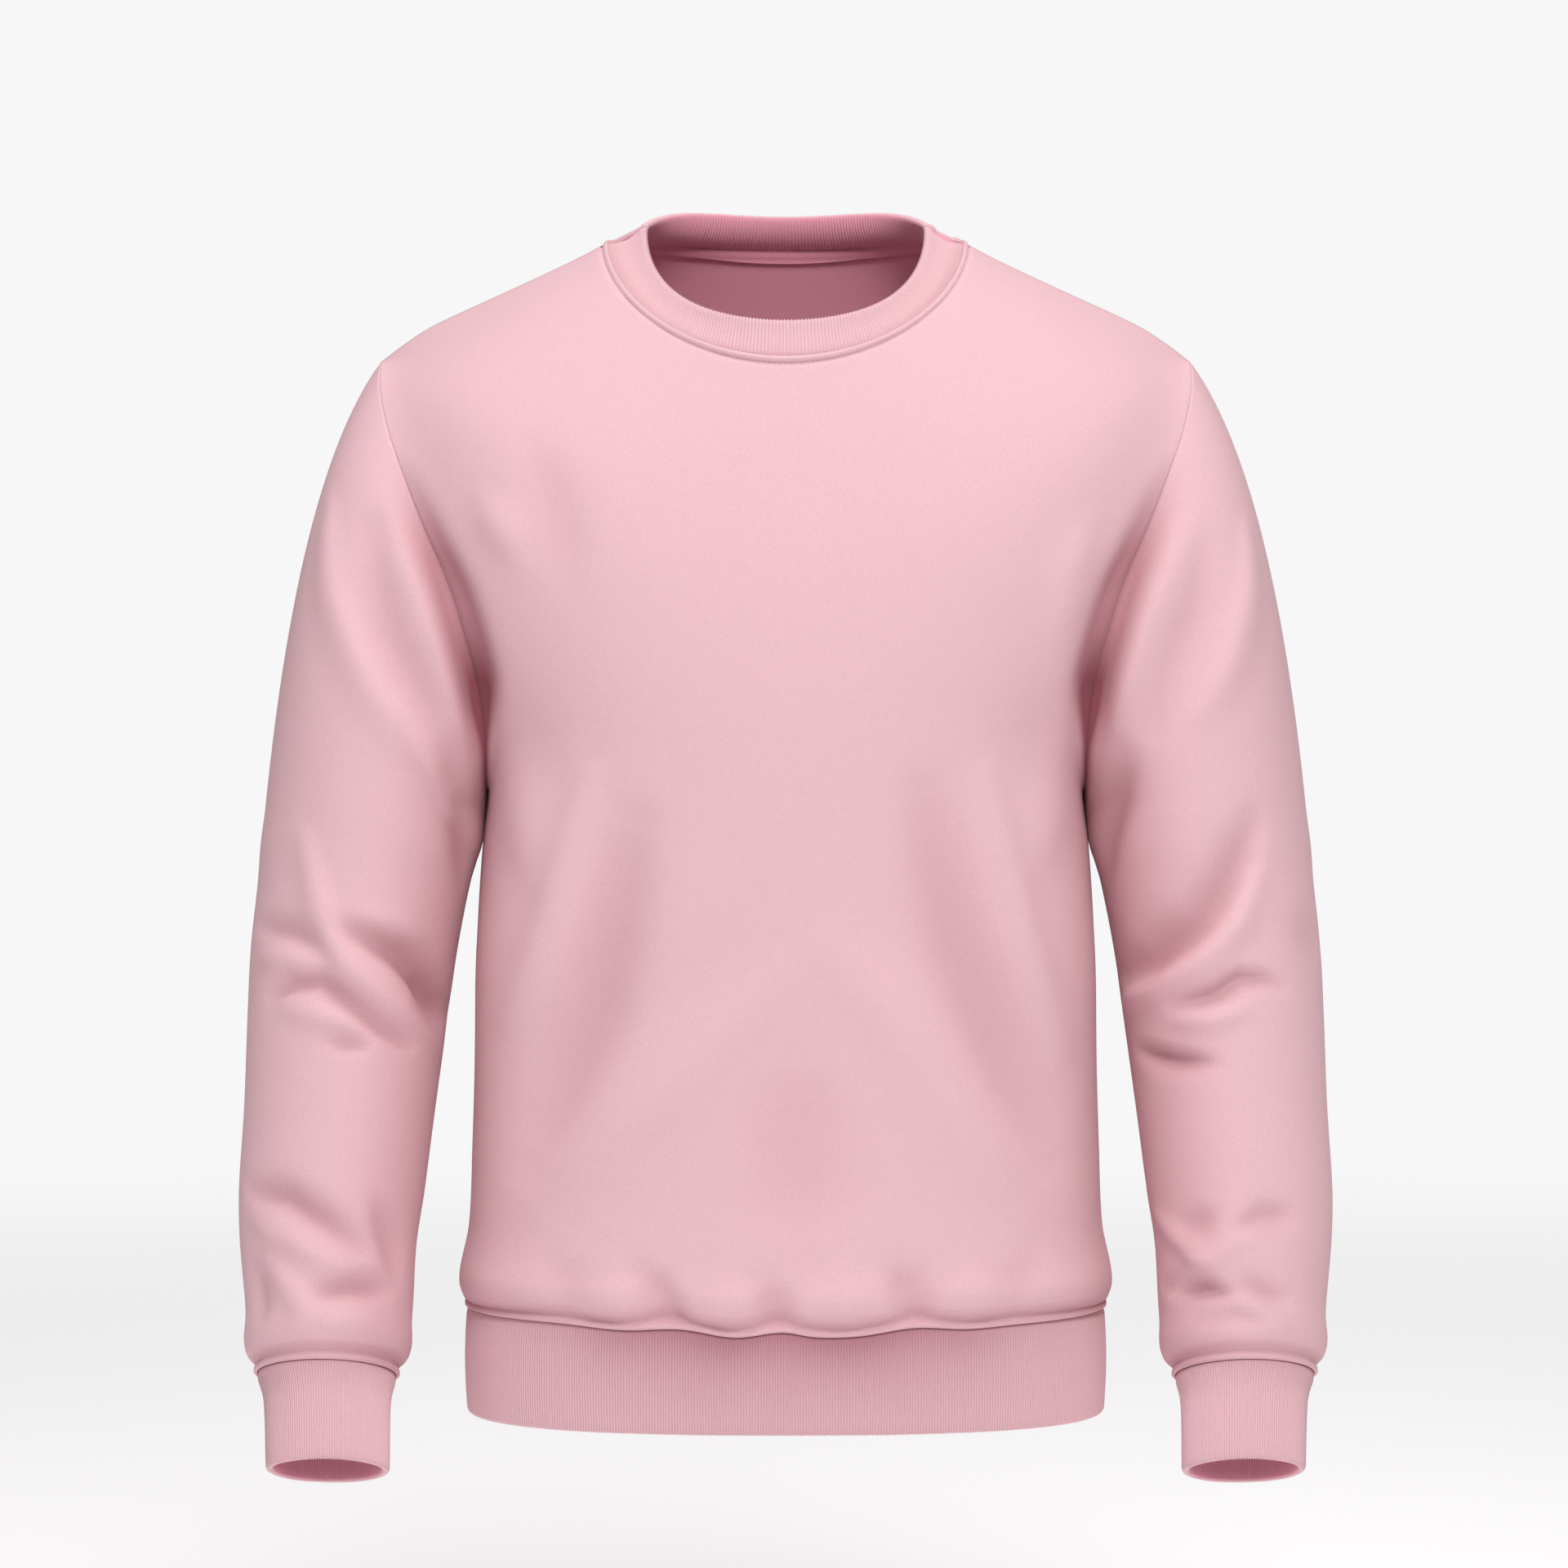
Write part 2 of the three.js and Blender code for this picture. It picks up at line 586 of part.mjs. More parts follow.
function ringPoint(ring, turn) {
  return ring.centre.clone()
    .addScaledVector(ring.out, ring.across * Math.cos(turn))
    .addScaledVector(ring.front, ring.deep * Math.sin(turn));
}

// Way in which the sleeve leaves the armhole seam
function leaving(turn) {
  const c = Math.cos(turn);
  const way = LEAVE_FRONT.clone();
  way.y *= Math.sin(turn);
  return way.lerp(c > 0 ? LEAVE_TOP : LEAVE_UNDER, c * c).normalize();
}

// A point of the sleeve's cap, between the armhole seam and the ring at the armpit
function capPoint(f, turn, topRing) {
  const start = armholePoint(turn, 1).addScaledVector(ARMHOLE_OUT, SEAM_GAP / 2);
  const end = ringPoint(topRing, turn);
  const reach = SLEEVE_FULLNESS * start.distanceTo(end);
  const h0 = 2 * f ** 3 - 3 * f ** 2 + 1;
  const h1 = f ** 3 - 2 * f ** 2 + f;
  const h3 = f ** 3 - f ** 2;
  return start.multiplyScalar(h0)
    .addScaledVector(leaving(turn), h1 * reach)
    .addScaledVector(end, 1 - h0)
    .addScaledVector(ARRIVE, h3 * reach);
}

// The whole outer and inner grids of a sleeve; side is 1 for +X and -1 for -X
function sleeveGrids(side, folds) {
  const columns = 2 * ARMHOLE_ROWS;
  const topRing = sleeveRing(SLEEVE_TOP_Z);
  const turnAt = (j) => 2 * Math.PI * j / columns;
  const heights = [];
  const plain = [];
  for (let i = 0; i < SLEEVE_CAP_ROWS; i += 1) {
    const f = i / SLEEVE_CAP_ROWS;
    plain.push(Array.from({ length: columns }, (_, j) => capPoint(f, turnAt(j), topRing)));
  }
  for (let i = 0; i < SLEEVE_ROWS; i += 1) {
    heights.push(THREE.MathUtils.lerp(SLEEVE_TOP_Z, SLEEVE_GATHER_Z, i / (SLEEVE_ROWS - 1)));
  }
  for (let i = 1; i <= SLEEVE_TAPER_ROWS; i += 1) {
    heights.push(THREE.MathUtils.lerp(SLEEVE_GATHER_Z, SLEEVE_END_Z, i / SLEEVE_TAPER_ROWS));
  }
  for (const z of heights) {
    const ring = sleeveRing(z);
    plain.push(Array.from({ length: columns }, (_, j) => ringPoint(ring, turnAt(j))));
  }
  const facing = { row: 16, column: 0, way: ACROSS };
  const plainNormals = gridNormals(plain, true, facing);
  const flat = folds.map((fold) => ({
    a0: fold.turn0 * Math.PI / 180 * SLEEVE_FOLD_RADIUS,
    b0: fold.z0,
    a1: fold.turn1 * Math.PI / 180 * SLEEVE_FOLD_RADIUS,
    b1: fold.z1,
    width: fold.width,
    height: fold.height,
  }));
  const lastRow = plain.length - 1;
  const folded = plain.map((row, i) => row.map((point, j) => {
    const toEdge = Math.min(point.distanceTo(plain[0][j]), point.distanceTo(plain[lastRow][j]));
    const fade = THREE.MathUtils.smoothstep(toEdge, 0, EDGE_FADE);
    const height = fade * foldHeight(flat, turnAt(j) * SLEEVE_FOLD_RADIUS, point.z);
    return point.clone().addScaledVector(plainNormals[i][j], height);
  }));
  const normals = gridNormals(folded, true, facing);
  folded[0].forEach((point, j) => normals[0][j].copy(armholeNormal(turnAt(j), 1)));
  const mirror = (grid) => grid.map((row) => row.map((p) => new THREE.Vector3(side * p.x, p.y, p.z)));
  const outer = mirror(folded);
  return { outer, normals: mirror(normals), inner: mirror(moved(folded, normals, -FLEECE)) };
}

// A point part of the way along a closed run of points
function between(ring, position) {
  const count = ring.length;
  const whole = Math.floor(position + 1e-9);
  const f = position - whole;
  return ring[whole % count].clone().lerp(ring[(whole + 1) % count], f);
}

// The closed run of an edge of both panels, from the +X side over the front to -X and back
function roundEdge(front, back, row, kind) {
  return [...front[kind][row]].reverse().concat(back[kind][row]);
}

// A ribbed band around a run of points, from a rule for its section.
// The section gives a point and the direction out, from the edge's point, direction and place.
function ribbedBand(points, normals, ribsAStep, outerSteps, section, thickness) {
  const ribs = points.length * ribsAStep;
  const sectionAt = (place, f) => section(between(points, place), between(normals, place).normalize(), f);
  const outer = outerSteps.map((f, k) => Array.from({ length: 2 * ribs }, (_, j) => {
    const place = j / (2 * ribsAStep);
    const { point, normal } = sectionAt(place, f);
    const raised = k > 0 && j % 2 === 1 ? RIB_HEIGHT : 0;
    return point.addScaledVector(normal, raised);
  }));
  const inner = [outerSteps[0], outerSteps[outerSteps.length - 1]].map((f) => (
    Array.from({ length: ribs }, (_, j) => {
      const place = j / ribsAStep;
      const { point, normal } = sectionAt(place, f);
      return point.addScaledVector(normal, -thickness);
    })
  ));
  return bandGeometry(outer, inner);
}

// The hem band goes straight down from the body's lower edge
function hemSection(point, normal, f) {
  const sideways = new THREE.Vector3(normal.x, normal.y, 0).normalize();
  const top = point.z - SEAM_GAP;
  const down = new THREE.Vector3(point.x, point.y, THREE.MathUtils.lerp(top, HEM_EDGE_Z, f));
  down.addScaledVector(sideways, HEM_BULGE * Math.sin(f * Math.PI));
  return { point: down, normal: f > 0 ? sideways : normal };
}

// The collar leans in towards the neck as it stands up from its seam
function collarSection(point, normal, f) {
  const neckDepth = lookUp(DEPTH, 'front', NECK_FRONT_Z);
  const inward = new THREE.Vector3(-point.x / NECK_HALF_WIDTH, -point.y / neckDepth, 0);
  const end = point.y < 0 ? 'front' : 'back';
  const flank = Math.min(Math.abs(point.x) / NECK_HALF_WIDTH, 1) ** (end === 'front' ? 2 : 4);
  const lean = THREE.MathUtils.lerp(COLLAR_LEAN[end], COLLAR_LEAN.side, flank);
  const rise = THREE.MathUtils.lerp(COLLAR_RISE[end], COLLAR_RISE.side, flank);
  const reach = inward.normalize().multiplyScalar(lean).addScaledVector(UP, rise);
  const start = reach.clone().addScaledVector(normal, -reach.dot(normal)).normalize();
  const bend = start.clone().multiplyScalar(COLLAR_WIDTH / 2);
  const path = start.clone().multiplyScalar(SEAM_GAP)
    .addScaledVector(bend, 2 * f * (1 - f))
    .addScaledVector(reach, f * f);
  const along = bend.clone().multiplyScalar(2 - 4 * f).addScaledVector(reach, 2 * f);
  const turned = normal.clone().addScaledVector(along, -normal.dot(along) / along.lengthSq()).normalize();
  return { point: point.clone().add(path), normal: turned };
}

// A cuff continues its sleeve's last ring along the arm
function cuffSection(side) {
  const ring = sleeveRing(SLEEVE_END_Z);
  const way = ring.along;
  const centre = new THREE.Vector3(side * ring.centre.x, ring.centre.y, ring.centre.z);
  return (point, normal, f) => {
    const radial = point.clone().sub(centre);
    const place = centre.clone().addScaledVector(radial, lookUp(CUFF, 'size', f, 'f'))
      .addScaledVector(way, SEAM_GAP + f * CUFF_LENGTH);
    place.x -= side * lookUp(CUFF, 'shift', f, 'f');
    const outward = radial.addScaledVector(way, -radial.dot(way)).normalize();
    return { point: place, normal: f > 0 ? outward : normal };
  };
}

// The tape lies on the inside of the back, just under the collar's seam
function tapeGeometry(back) {
  const top = back.outer.length - 1;
  const columns = back.outer[0].length;
  const rows = [0.06, 0.5, 1].map((f) => {
    const points = [];
    const normals = [];
    for (let j = 1; j < columns - 1; j += 1) {
      const upper = back.outer[top][j];
      const lower = back.outer[top - 1][j];
      const share = f * TAPE_WIDTH / upper.distanceTo(lower);
      points.push(upper.clone().lerp(lower, share));
      normals.push(back.normals[top][j].clone().lerp(back.normals[top - 1][j], share).normalize());
    }
    return { points, normals };
  });
  const grid = rows.map((row) => row.points);
  const normals = rows.map((row) => row.normals);
  const outer = moved(grid, normals, -(FLEECE + TAPE_CLEARANCE));
  const inner = moved(grid, normals, -(FLEECE + TAPE_CLEARANCE + TAPE));
  return shellGeometry(outer, inner, false);
}

const fleece = new THREE.MeshStandardMaterial({ color: 0xebc1c6, roughness: 0.95, metalness: 0 });
const rib = new THREE.MeshStandardMaterial({ color: 0xe6b9be, roughness: 0.95, metalness: 0 });
const tapeCloth = new THREE.MeshStandardMaterial({ color: 0xd9a3ab, roughness: 0.9, metalness: 0 });

const sweatshirt = new THREE.Group();

function add(name, geometry, material) {
  const mesh = new THREE.Mesh(geometry, material.clone());
  mesh.name = name;
  sweatshirt.add(mesh);
}

const front = panelGrids(true, FRONT_COLUMNS, FRONT_FOLDS);
const back = panelGrids(false, BACK_COLUMNS, BACK_FOLDS);
add('front', shellGeometry(front.outer, front.inner, false), fleece);
add('back', shellGeometry(back.outer, back.inner, false), fleece);

const HEM_STEPS = [0, 0.5, 1];
const hemEdge = roundEdge(front, back, 0, 'outer');
const hemNormals = roundEdge(front, back, 0, 'normals');
const hemBand = ribbedBand(hemEdge, hemNormals, HEM_RIBS_A_STEP, HEM_STEPS, hemSection, RIB_KNIT);
add('hem_band', hemBand, rib);

const COLLAR_STEPS = [0, 0.3, 0.65, 1];
const topRow = front.outer.length - 1;
const neckEdge = roundEdge(front, back, topRow, 'outer');
const neckNormals = roundEdge(front, back, topRow, 'normals');
const neckband = ribbedBand(neckEdge, neckNormals, COLLAR_RIBS_A_STEP, COLLAR_STEPS, collarSection, RIB_KNIT);
add('collar', neckband, rib);
add('neck_tape', tapeGeometry(back), tapeCloth);

const CUFF_STEPS = [0, 0.1, 0.28, 1];
for (const [side, name, folds] of [[-1, 'left', LEFT_SLEEVE_FOLDS], [1, 'right', RIGHT_SLEEVE_FOLDS]]) {
  const sleeve = sleeveGrids(side, folds);
  const last = sleeve.outer.length - 1;
  add(`sleeve_${name}`, shellGeometry(sleeve.outer, sleeve.inner, true), fleece);
  const cuff = ribbedBand(
    sleeve.outer[last],
    sleeve.normals[last],
    CUFF_RIBS_A_STEP,
    CUFF_STEPS,
    cuffSection(side),
    RIB_KNIT,
  );
  add(`cuff_${name}`, cuff, rib);
}

export default sweatshirt;
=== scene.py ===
"""Dresses a crewneck sweatshirt: fleece panels, rib-knit bands, seams, stitches, light and camera.

The cloth's form is worked out in millimetres from the garment's own sizes, as fine walls around the
fixed frame, and is written to the meshes in metres.
"""

from __future__ import annotations

import logging
import math
from dataclasses import dataclass, field
from enum import Enum

import bpy
import numpy as np
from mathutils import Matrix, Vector

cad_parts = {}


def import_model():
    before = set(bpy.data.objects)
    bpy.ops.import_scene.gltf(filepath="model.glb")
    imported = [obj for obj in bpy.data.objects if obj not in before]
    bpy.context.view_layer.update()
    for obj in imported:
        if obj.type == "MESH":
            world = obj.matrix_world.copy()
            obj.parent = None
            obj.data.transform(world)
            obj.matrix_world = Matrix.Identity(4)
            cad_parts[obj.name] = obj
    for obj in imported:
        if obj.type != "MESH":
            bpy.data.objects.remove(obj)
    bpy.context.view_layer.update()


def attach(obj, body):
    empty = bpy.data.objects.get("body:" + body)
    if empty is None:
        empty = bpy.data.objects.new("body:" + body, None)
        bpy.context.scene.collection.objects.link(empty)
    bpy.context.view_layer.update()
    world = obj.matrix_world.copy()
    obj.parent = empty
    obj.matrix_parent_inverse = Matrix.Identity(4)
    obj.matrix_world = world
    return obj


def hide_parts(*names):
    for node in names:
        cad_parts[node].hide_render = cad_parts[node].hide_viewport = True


LOG = logging.getLogger("sweatshirt")

MM = 0.001
Array = np.ndarray


class Part(Enum):
    """The two body panels."""

    FRONT = -1
    BACK = 1


class Arm(Enum):
    """The two sleeves, as seen from the front."""

    LEFT = -1
    RIGHT = 1


class Table:
    """Named columns over a rising key column, read smoothly between the rows."""

    def __init__(self, key: str, **columns: list[float]) -> None:
        """Keeps the columns and their slopes.

        Args:
            key: Name of the rising column.
            **columns: Values of every column, the key's among them.
        """
        self.keys = np.array(columns[key], dtype=float)
        self.values = {name: np.array(column, dtype=float) for name, column in columns.items()}
        index = np.arange(len(self.keys))
        before = np.maximum(index - 1, 0)
        after = np.minimum(index + 1, len(self.keys) - 1)
        span = self.keys[after] - self.keys[before]
        self.slopes = {name: (v[after] - v[before]) / span for name, v in self.values.items()}

    def at(self, column: str, value: Array | float) -> Array:
        """Reads one column.

        Args:
            column: Name of the column.
            value: Place or places along the key.

        Returns:
            The column's smooth values there.
        """
        place = np.clip(value, self.keys[0], self.keys[-1])
        i = np.clip(np.searchsorted(self.keys, place, side="left") - 1, 0, len(self.keys) - 2)
        span = self.keys[i + 1] - self.keys[i]
        f = (place - self.keys[i]) / span
        start = 2 * f**3 - 3 * f**2 + 1
        leave = (f**3 - 2 * f**2 + f) * span * self.slopes[column][i]
        arrive = (f**3 - f**2) * span * self.slopes[column][i + 1]
        values = self.values[column]
        return start * values[i] + leave + (1 - start) * values[i + 1] + arrive


# How a fold's height and width run out towards its ends, and how far its lean reaches.
FOLD_TAPER = 2.2
FOLD_END_WIDTH = 0.6
FOLD_LEAN_REACH = 0.3


@dataclass(frozen=True)
class Fold:
    """A soft ridge or trough along a path on an unrolled piece.

    Attributes:
        path: Points of the fold's line.
        width: Half width in millimetres.
        height: Height in millimetres, below zero for a trough.
        lean: How much wider its right side is than its left, from -0.8 to 0.8.
        tail: Share of the height that is left at the two ends.
    """

    path: tuple[tuple[float, float], ...]
    width: float
    height: float
    lean: float = 0.0
    tail: float = 0.3

    def raise_at(self, a: Array, b: Array) -> Array:
        """Height of this fold at the points (a, b) of the unrolled piece.

        Args:
            a: Places across the piece.
            b: Places along the piece.

        Returns:
            Heights in millimetres.
        """
        nearest = np.full(a.shape, np.inf)
        side = np.zeros(a.shape)
        place = np.zeros(a.shape)
        run = 0.0
        for (a0, b0), (a1, b1) in zip(self.path, self.path[1:]):
            da, db = a1 - a0, b1 - b0
            f = np.clip(((a - a0) * da + (b - b0) * db) / (da * da + db * db), 0, 1)
            away_a, away_b = a - a0 - f * da, b - b0 - f * db
            away = np.hypot(away_a, away_b)
            turned = (away_a * db - away_b * da) / math.hypot(da, db)
            closer = away < nearest
            side = np.where(closer, turned, side)
            place = np.where(closer, run + f * math.hypot(da, db), place)
            nearest = np.where(closer, away, nearest)
            run += math.hypot(da, db)
        full = 1 - (1 - self.tail) * np.abs(2 * place / run - 1) ** FOLD_TAPER
        width = self.width * (1 + self.lean * np.tanh(side / (FOLD_LEAN_REACH * self.width)))
        return self.height * full * bell(nearest, 0, width * (FOLD_END_WIDTH + (1 - FOLD_END_WIDTH) * full))


def smooth_step(value: Array, low: float, high: float) -> Array:
    """Rises smoothly from 0 at low to 1 at high."""
    f = np.clip((value - low) / (high - low), 0, 1)
    return f * f * (3 - 2 * f)


def bell(value: Array, middle: float, width: float) -> Array:
    """A soft hump, 1 at its middle and about a third one width away."""
    return np.exp(-(((value - middle) / width) ** 2))


def unit(vectors: Array) -> Array:
    """The vectors at length one."""
    return vectors / np.maximum(np.linalg.norm(vectors, axis=-1, keepdims=True), 1e-9)


def sample_rows(grid: Array, places: Array) -> Array:
    """Reads a grid smoothly between its rows.

    Args:
        grid: Points, rows first.
        places: Rows to read, whole or part.

    Returns:
        A grid with one row for each place.
    """
    last = len(grid) - 1
    i = np.clip(np.floor(places).astype(int), 0, last - 1)
    f = (places - i).reshape((-1,) + (1,) * (grid.ndim - 1))
    here, following = grid[i], grid[i + 1]
    edge_low = (i == 0).reshape(f.shape)
    edge_high = (i == last - 1).reshape(f.shape)
    before = np.where(edge_low, 2 * here - following, grid[np.maximum(i - 1, 0)])
    beyond = np.where(edge_high, 2 * following - here, grid[np.minimum(i + 2, last)])
    return 0.5 * (
        2 * here
        + (following - before) * f
        + (2 * before - 5 * here + 4 * following - beyond) * f**2
        + (3 * here - before - 3 * following + beyond) * f**3
    )


def grid_normals(grid: Array, is_round: bool, facing: Array) -> Array:
    """Directions square to a grid.

    Args:
        grid: Points, rows by columns.
        is_round: Whether the last column meets the first.
        facing: Direction that the grid's middle row faces, at its first column where it is round.

    Returns:
        Unit directions that point out of the cloth.
    """
    along = np.gradient(grid, axis=0)
    if is_round:
        across = np.roll(grid, -1, axis=1) - np.roll(grid, 1, axis=1)
    else:
        across = np.gradient(grid, axis=1)
    normals = unit(np.cross(along, across))
    column = 0 if is_round else grid.shape[1] // 2
    sample = normals[grid.shape[0] // 2, column]
    return -normals if sample @ facing < 0 else normals


def run_lengths(points: Array, axis: int) -> Array:
    """Distance run along one axis of a grid, from its start.

    Args:
        points: Points, rows by columns.
        axis: The axis to follow, 0 down the rows or 1 along them.

    Returns:
        Distances in the grid's own shape.
    """
    steps = np.linalg.norm(np.diff(points, axis=axis), axis=-1)
    start = np.zeros_like(np.take(steps, [0], axis=axis))
    return np.concatenate([start, np.cumsum(steps, axis=axis)], axis=axis)


def points_at_distance(grid: Array, distance: float) -> Array:
    """Points at a distance from the first row, measured along each column.

    Args:
        grid: Points, rows by columns.
        distance: Distance in millimetres.

    Returns:
        One point for each column.
    """
    run = run_lengths(grid, 0)
    found = []
    for j in range(grid.shape[1]):
        found.append([np.interp(distance, run[:, j], grid[:, j, k]) for k in range(3)])
    return np.array(found)


def even_ring(points: Array, count: int, *carried: Array) -> list[Array]:
    """Points at even distances round a closed run, with values carried along.

    Args:
        points: The run's points, without a repeated end.
        count: How many points to place.
        *carried: Vectors given at the same points.

    Returns:
        The even points, and the carried vectors read there.
    """
    closed = np.vstack([points, points[:1]])
    run = np.concatenate([[0], np.cumsum(np.linalg.norm(np.diff(closed, axis=0), axis=1))])
    goals = np.arange(count) * run[-1] / count
    result = []
    for values in (points, *carried):
        ring = np.vstack([values, values[:1]])
        result.append(np.stack([np.interp(goals, run, ring[:, k]) for k in range(3)], axis=1))
    return result


@dataclass(frozen=True)
class Cloth:
    """Thicknesses of the knits and the shapes beside their seams, in millimetres.

    Depths are measured down from the shoulders' height.

    Attributes:
        fleece: Thickness of the fleece.
        rib: Thickness of a doubled rib band.
        tape: Thickness of the neck tape.
        tape_clearance: Gap between the tape and the back's inner side.
        seam_gap: Gap between two pieces at their seam.
        welt_width: Distance of the topstitching from a seam.
        welt_height: Height of the raised seam allowance.
        welt_rise: Distances from the seam between which the allowance rises.
        welt_fall: Distances from the seam between which it falls again.
        crease_width: Width of the crease beside the allowance.
        crease_depth: Depth of that crease.
        groove_depth: Depth of the groove along a seam.
        groove_width: Width of that groove.
        blouse_place: Distance of the fullness over a band from the band's seam.
        blouse_width: Width of the fullness.
        tuck_share: Depth of the tuck under the fullness, as a share of its height.
        tuck_place: Distance of that tuck from the band's seam.
        tuck_width: Width of that tuck.
        valley_depth: How far body and sleeve sink in beside the lower armhole seam.
        valley_width: How far from the seam they do.
        valley_start: Depths between which the valley sets in.
        valley_end: Depths between which it ends above the armpit.
        pit_start: Depths between which the painted dark line of shade at the armpit sets in.
        pit_end: Depths between which it ends.
        pit_line: Strength and width of the painted shade line itself.
        pit_soft_shade: Strength and width of the softer painted shade round it.
        press_height: How far the sleeve swells towards the body below the armpit.
        press_start: Depths between which that swelling sets in.
        press_place: Distance of the swelling from the seam.
        press_width: Width of the swelling.
    """

    fleece: float = 2.2
    rib: float = 3.0
    tape: float = 1.0
    tape_clearance: float = 0.8
    seam_gap: float = 0.06
    welt_width: float = 4.1
    welt_height: float = 1.1
    welt_rise: tuple[float, float] = (0.3, 1.3)
    welt_fall: tuple[float, float] = (2.8, 4.2)
    crease_width: float = 1.3
    crease_depth: float = 1.3
    groove_depth: float = 0.4
    groove_width: float = 0.9
    blouse_place: float = 19.0
    blouse_width: float = 10.0
    tuck_share: float = 0.8
    tuck_place: float = 6.8
    tuck_width: float = 3.2
    valley_depth: float = 10.5
    valley_width: float = 13.0
    valley_start: tuple[float, float] = (120.0, 205.0)
    valley_end: tuple[float, float] = (255.0, 300.0)
    # Painted shade where body and sleeve press together at the armpit: a dark line and a softer shade round
    # it.
    pit_start: tuple[float, float] = (212.0, 290.0)
    pit_end: tuple[float, float] = (316.0, 345.0)
    pit_line: tuple[float, float] = (1.35, 5.0)
    pit_soft_shade: tuple[float, float] = (0.3, 20.0)
    press_height: float = 0.9
    press_start: tuple[float, float] = (298.0, 316.0)
    press_place: float = 9.0
    press_width: float = 7.0

    def seam_relief(self, distance: Array, with_welt: bool) -> Array:
        """Height of the cloth beside a seam.

        Args:
            distance: Distance from the seam.
            with_welt: Whether the seam allowance shows as a raised, topstitched welt.

        Returns:
            Heights in millimetres.
        """
        relief = -self.groove_depth * bell(distance, 0, self.groove_width)
        if with_welt:
            raised = smooth_step(distance, *self.welt_rise) * (1 - smooth_step(distance, *self.welt_fall))
            crease = bell(distance, self.welt_width, self.crease_width)
            relief = relief + self.welt_height * raised - self.crease_depth * crease
        return relief

    def blouse(self, distance: Array, size: float) -> Array:
        """Height of the fullness that hangs over a band's seam.

        Args:
            distance: Distance from the seam.
            size: Height of the fullness in millimetres.

        Returns:
            Heights in millimetres.
        """
        full = size * bell(distance, self.blouse_place, self.blouse_width)
        return full - self.tuck_share * size * bell(distance, self.tuck_place, self.tuck_width)

    def valley(self, distance: Array, z: Array) -> Array:
        """Height of the cloth where body and sleeve sink in towards the lower armhole seam.

        Args:
            distance: Distance from the seam.
            z: Height of the seam beside the point.

        Returns:
            Heights in millimetres.
        """
        share = smooth_step(-z, *self.valley_start) * (1 - smooth_step(-z, *self.valley_end))
        return -self.valley_depth * share * bell(distance, 0, self.valley_width)

    def pressed(self, distance: Array, z: Array) -> Array:
        """Height of the sleeve where it nearly touches the body just below the armpit.

        Args:
            distance: Distance from the armhole seam.
            z: Height of the seam beside the point.

        Returns:
            Heights in millimetres.
        """
        share = smooth_step(-z, *self.press_start)
        return self.press_height * share * bell(distance, self.press_place, self.press_width)

    def armpit_shade(self, distance: Array, z: Array) -> Array:
        """How dark the painted shade makes the cloth where body and sleeve press together at the armpit.

        Args:
            distance: Distance from the seam.
            z: Height of the seam beside the point.

        Returns:
            Shares of a deep crease's painted shade, more than 1 in the line itself.
        """
        near = smooth_step(-z, *self.pit_start) * (1 - smooth_step(-z, *self.pit_end))
        (line, line_width), (soft_shade, soft_shade_width) = self.pit_line, self.pit_soft_shade
        return near * (line * bell(distance, 0, line_width) + soft_shade * bell(distance, 0, soft_shade_width))


CLOTH = Cloth()


@dataclass(frozen=True)
class Shading:
    """How much painted shade darkens a piece in its folds and hollows, as shares of a deep crease's shade.

    Attributes:
        fold: Share at the bottom of a deep fold.
        fold_depth: Depth of a fold that counts as deep, in millimetres.
        band: Share in the tuck beside a band's seam.
        valley: Share in the valley beside the armhole seam.
        limit: Most that the folds, the valley and the sides give together.
        band_place: Distance of the tuck's shade from the seam.
        band_width: Width of that shade.
    """

    fold: float
    fold_depth: float
    band: float
    valley: float = 1.1
    limit: float = 0.95
    band_place: float = 6.5
    band_width: float = 4.0

    def crease(self, soft: Array, sunk: Array, turned: Array, to_band: Array, painted_pit_shade: Array) -> Array:
        """How much painted shade each point takes, as a share of a deep crease's shade.

        Args:
            soft: Heights of the folds.
            sunk: Heights of the valley beside the armhole seam.
            turned: Shares for the sides that turn away from the light.
            to_band: Distance from the band's seam.
            painted_pit_shade: Shares of painted shade at the armpit.

        Returns:
            Shares of a deep crease's painted shade.
        """
        deep = self.fold * np.clip(-soft / self.fold_depth, 0, 1)
        deep = deep + self.valley * np.clip(-sunk / CLOTH.valley_depth, 0, 1)
        band = self.band * bell(to_band, self.band_place, self.band_width)
        return np.minimum(deep + turned, self.limit) + painted_pit_shade + band


# Painted shade on the panels and the sleeves, in folds, the armhole valley, on the sides and beside the
# bands.
PANEL_SHADING = Shading(fold=0.35, fold_depth=9, band=0.5)
SLEEVE_SHADING = Shading(fold=0.5, fold_depth=10, band=0.4)


@dataclass(frozen=True)
class Cut:
    """Sizes of the garment, in millimetres, in the frame of its shoulders.

    Attributes:
        neck_half_width: Half width of the neck seam at the shoulders.
        neck_front_z: Height of the neck seam at the front.
        neck_back_z: Height of the neck seam at the back.
        neck_back_rise: How much higher the back neck seam is beside its middle.
        shoulder_x: Distance of the shoulder points from the middle.
        shoulder_z: Height of the shoulder points.
        underarm_z: Height of the armpits.
        hem_seam_z: Height of the seam of the waistband.
        hem_edge_z: Height of the waistband's lower edge.
        armhole_half_depth: How far the armhole seam bows to the front and the back.
        armhole_egg: How much more it bows low down than high up.
        centre_at_underarm: Height on the centre line of the row that ends at the armpit.
        centre_at_shoulder_front: The same for the row that ends at the shoulder point, at the front.
        centre_at_shoulder_back: The same at the back.
    """

    neck_half_width: float = 102
    neck_front_z: float = -77
    neck_back_z: float = 4
    neck_back_rise: float = 2.5
    shoulder_x: float = 232
    shoulder_z: float = -71.5
    underarm_z: float = -318
    hem_seam_z: float = -613
    hem_edge_z: float = -672
    armhole_half_depth: float = 69
    armhole_egg: float = 0.18
    centre_at_underarm: float = -312
    centre_at_shoulder_front: float = -140
    centre_at_shoulder_back: float = -80


CUT = Cut()

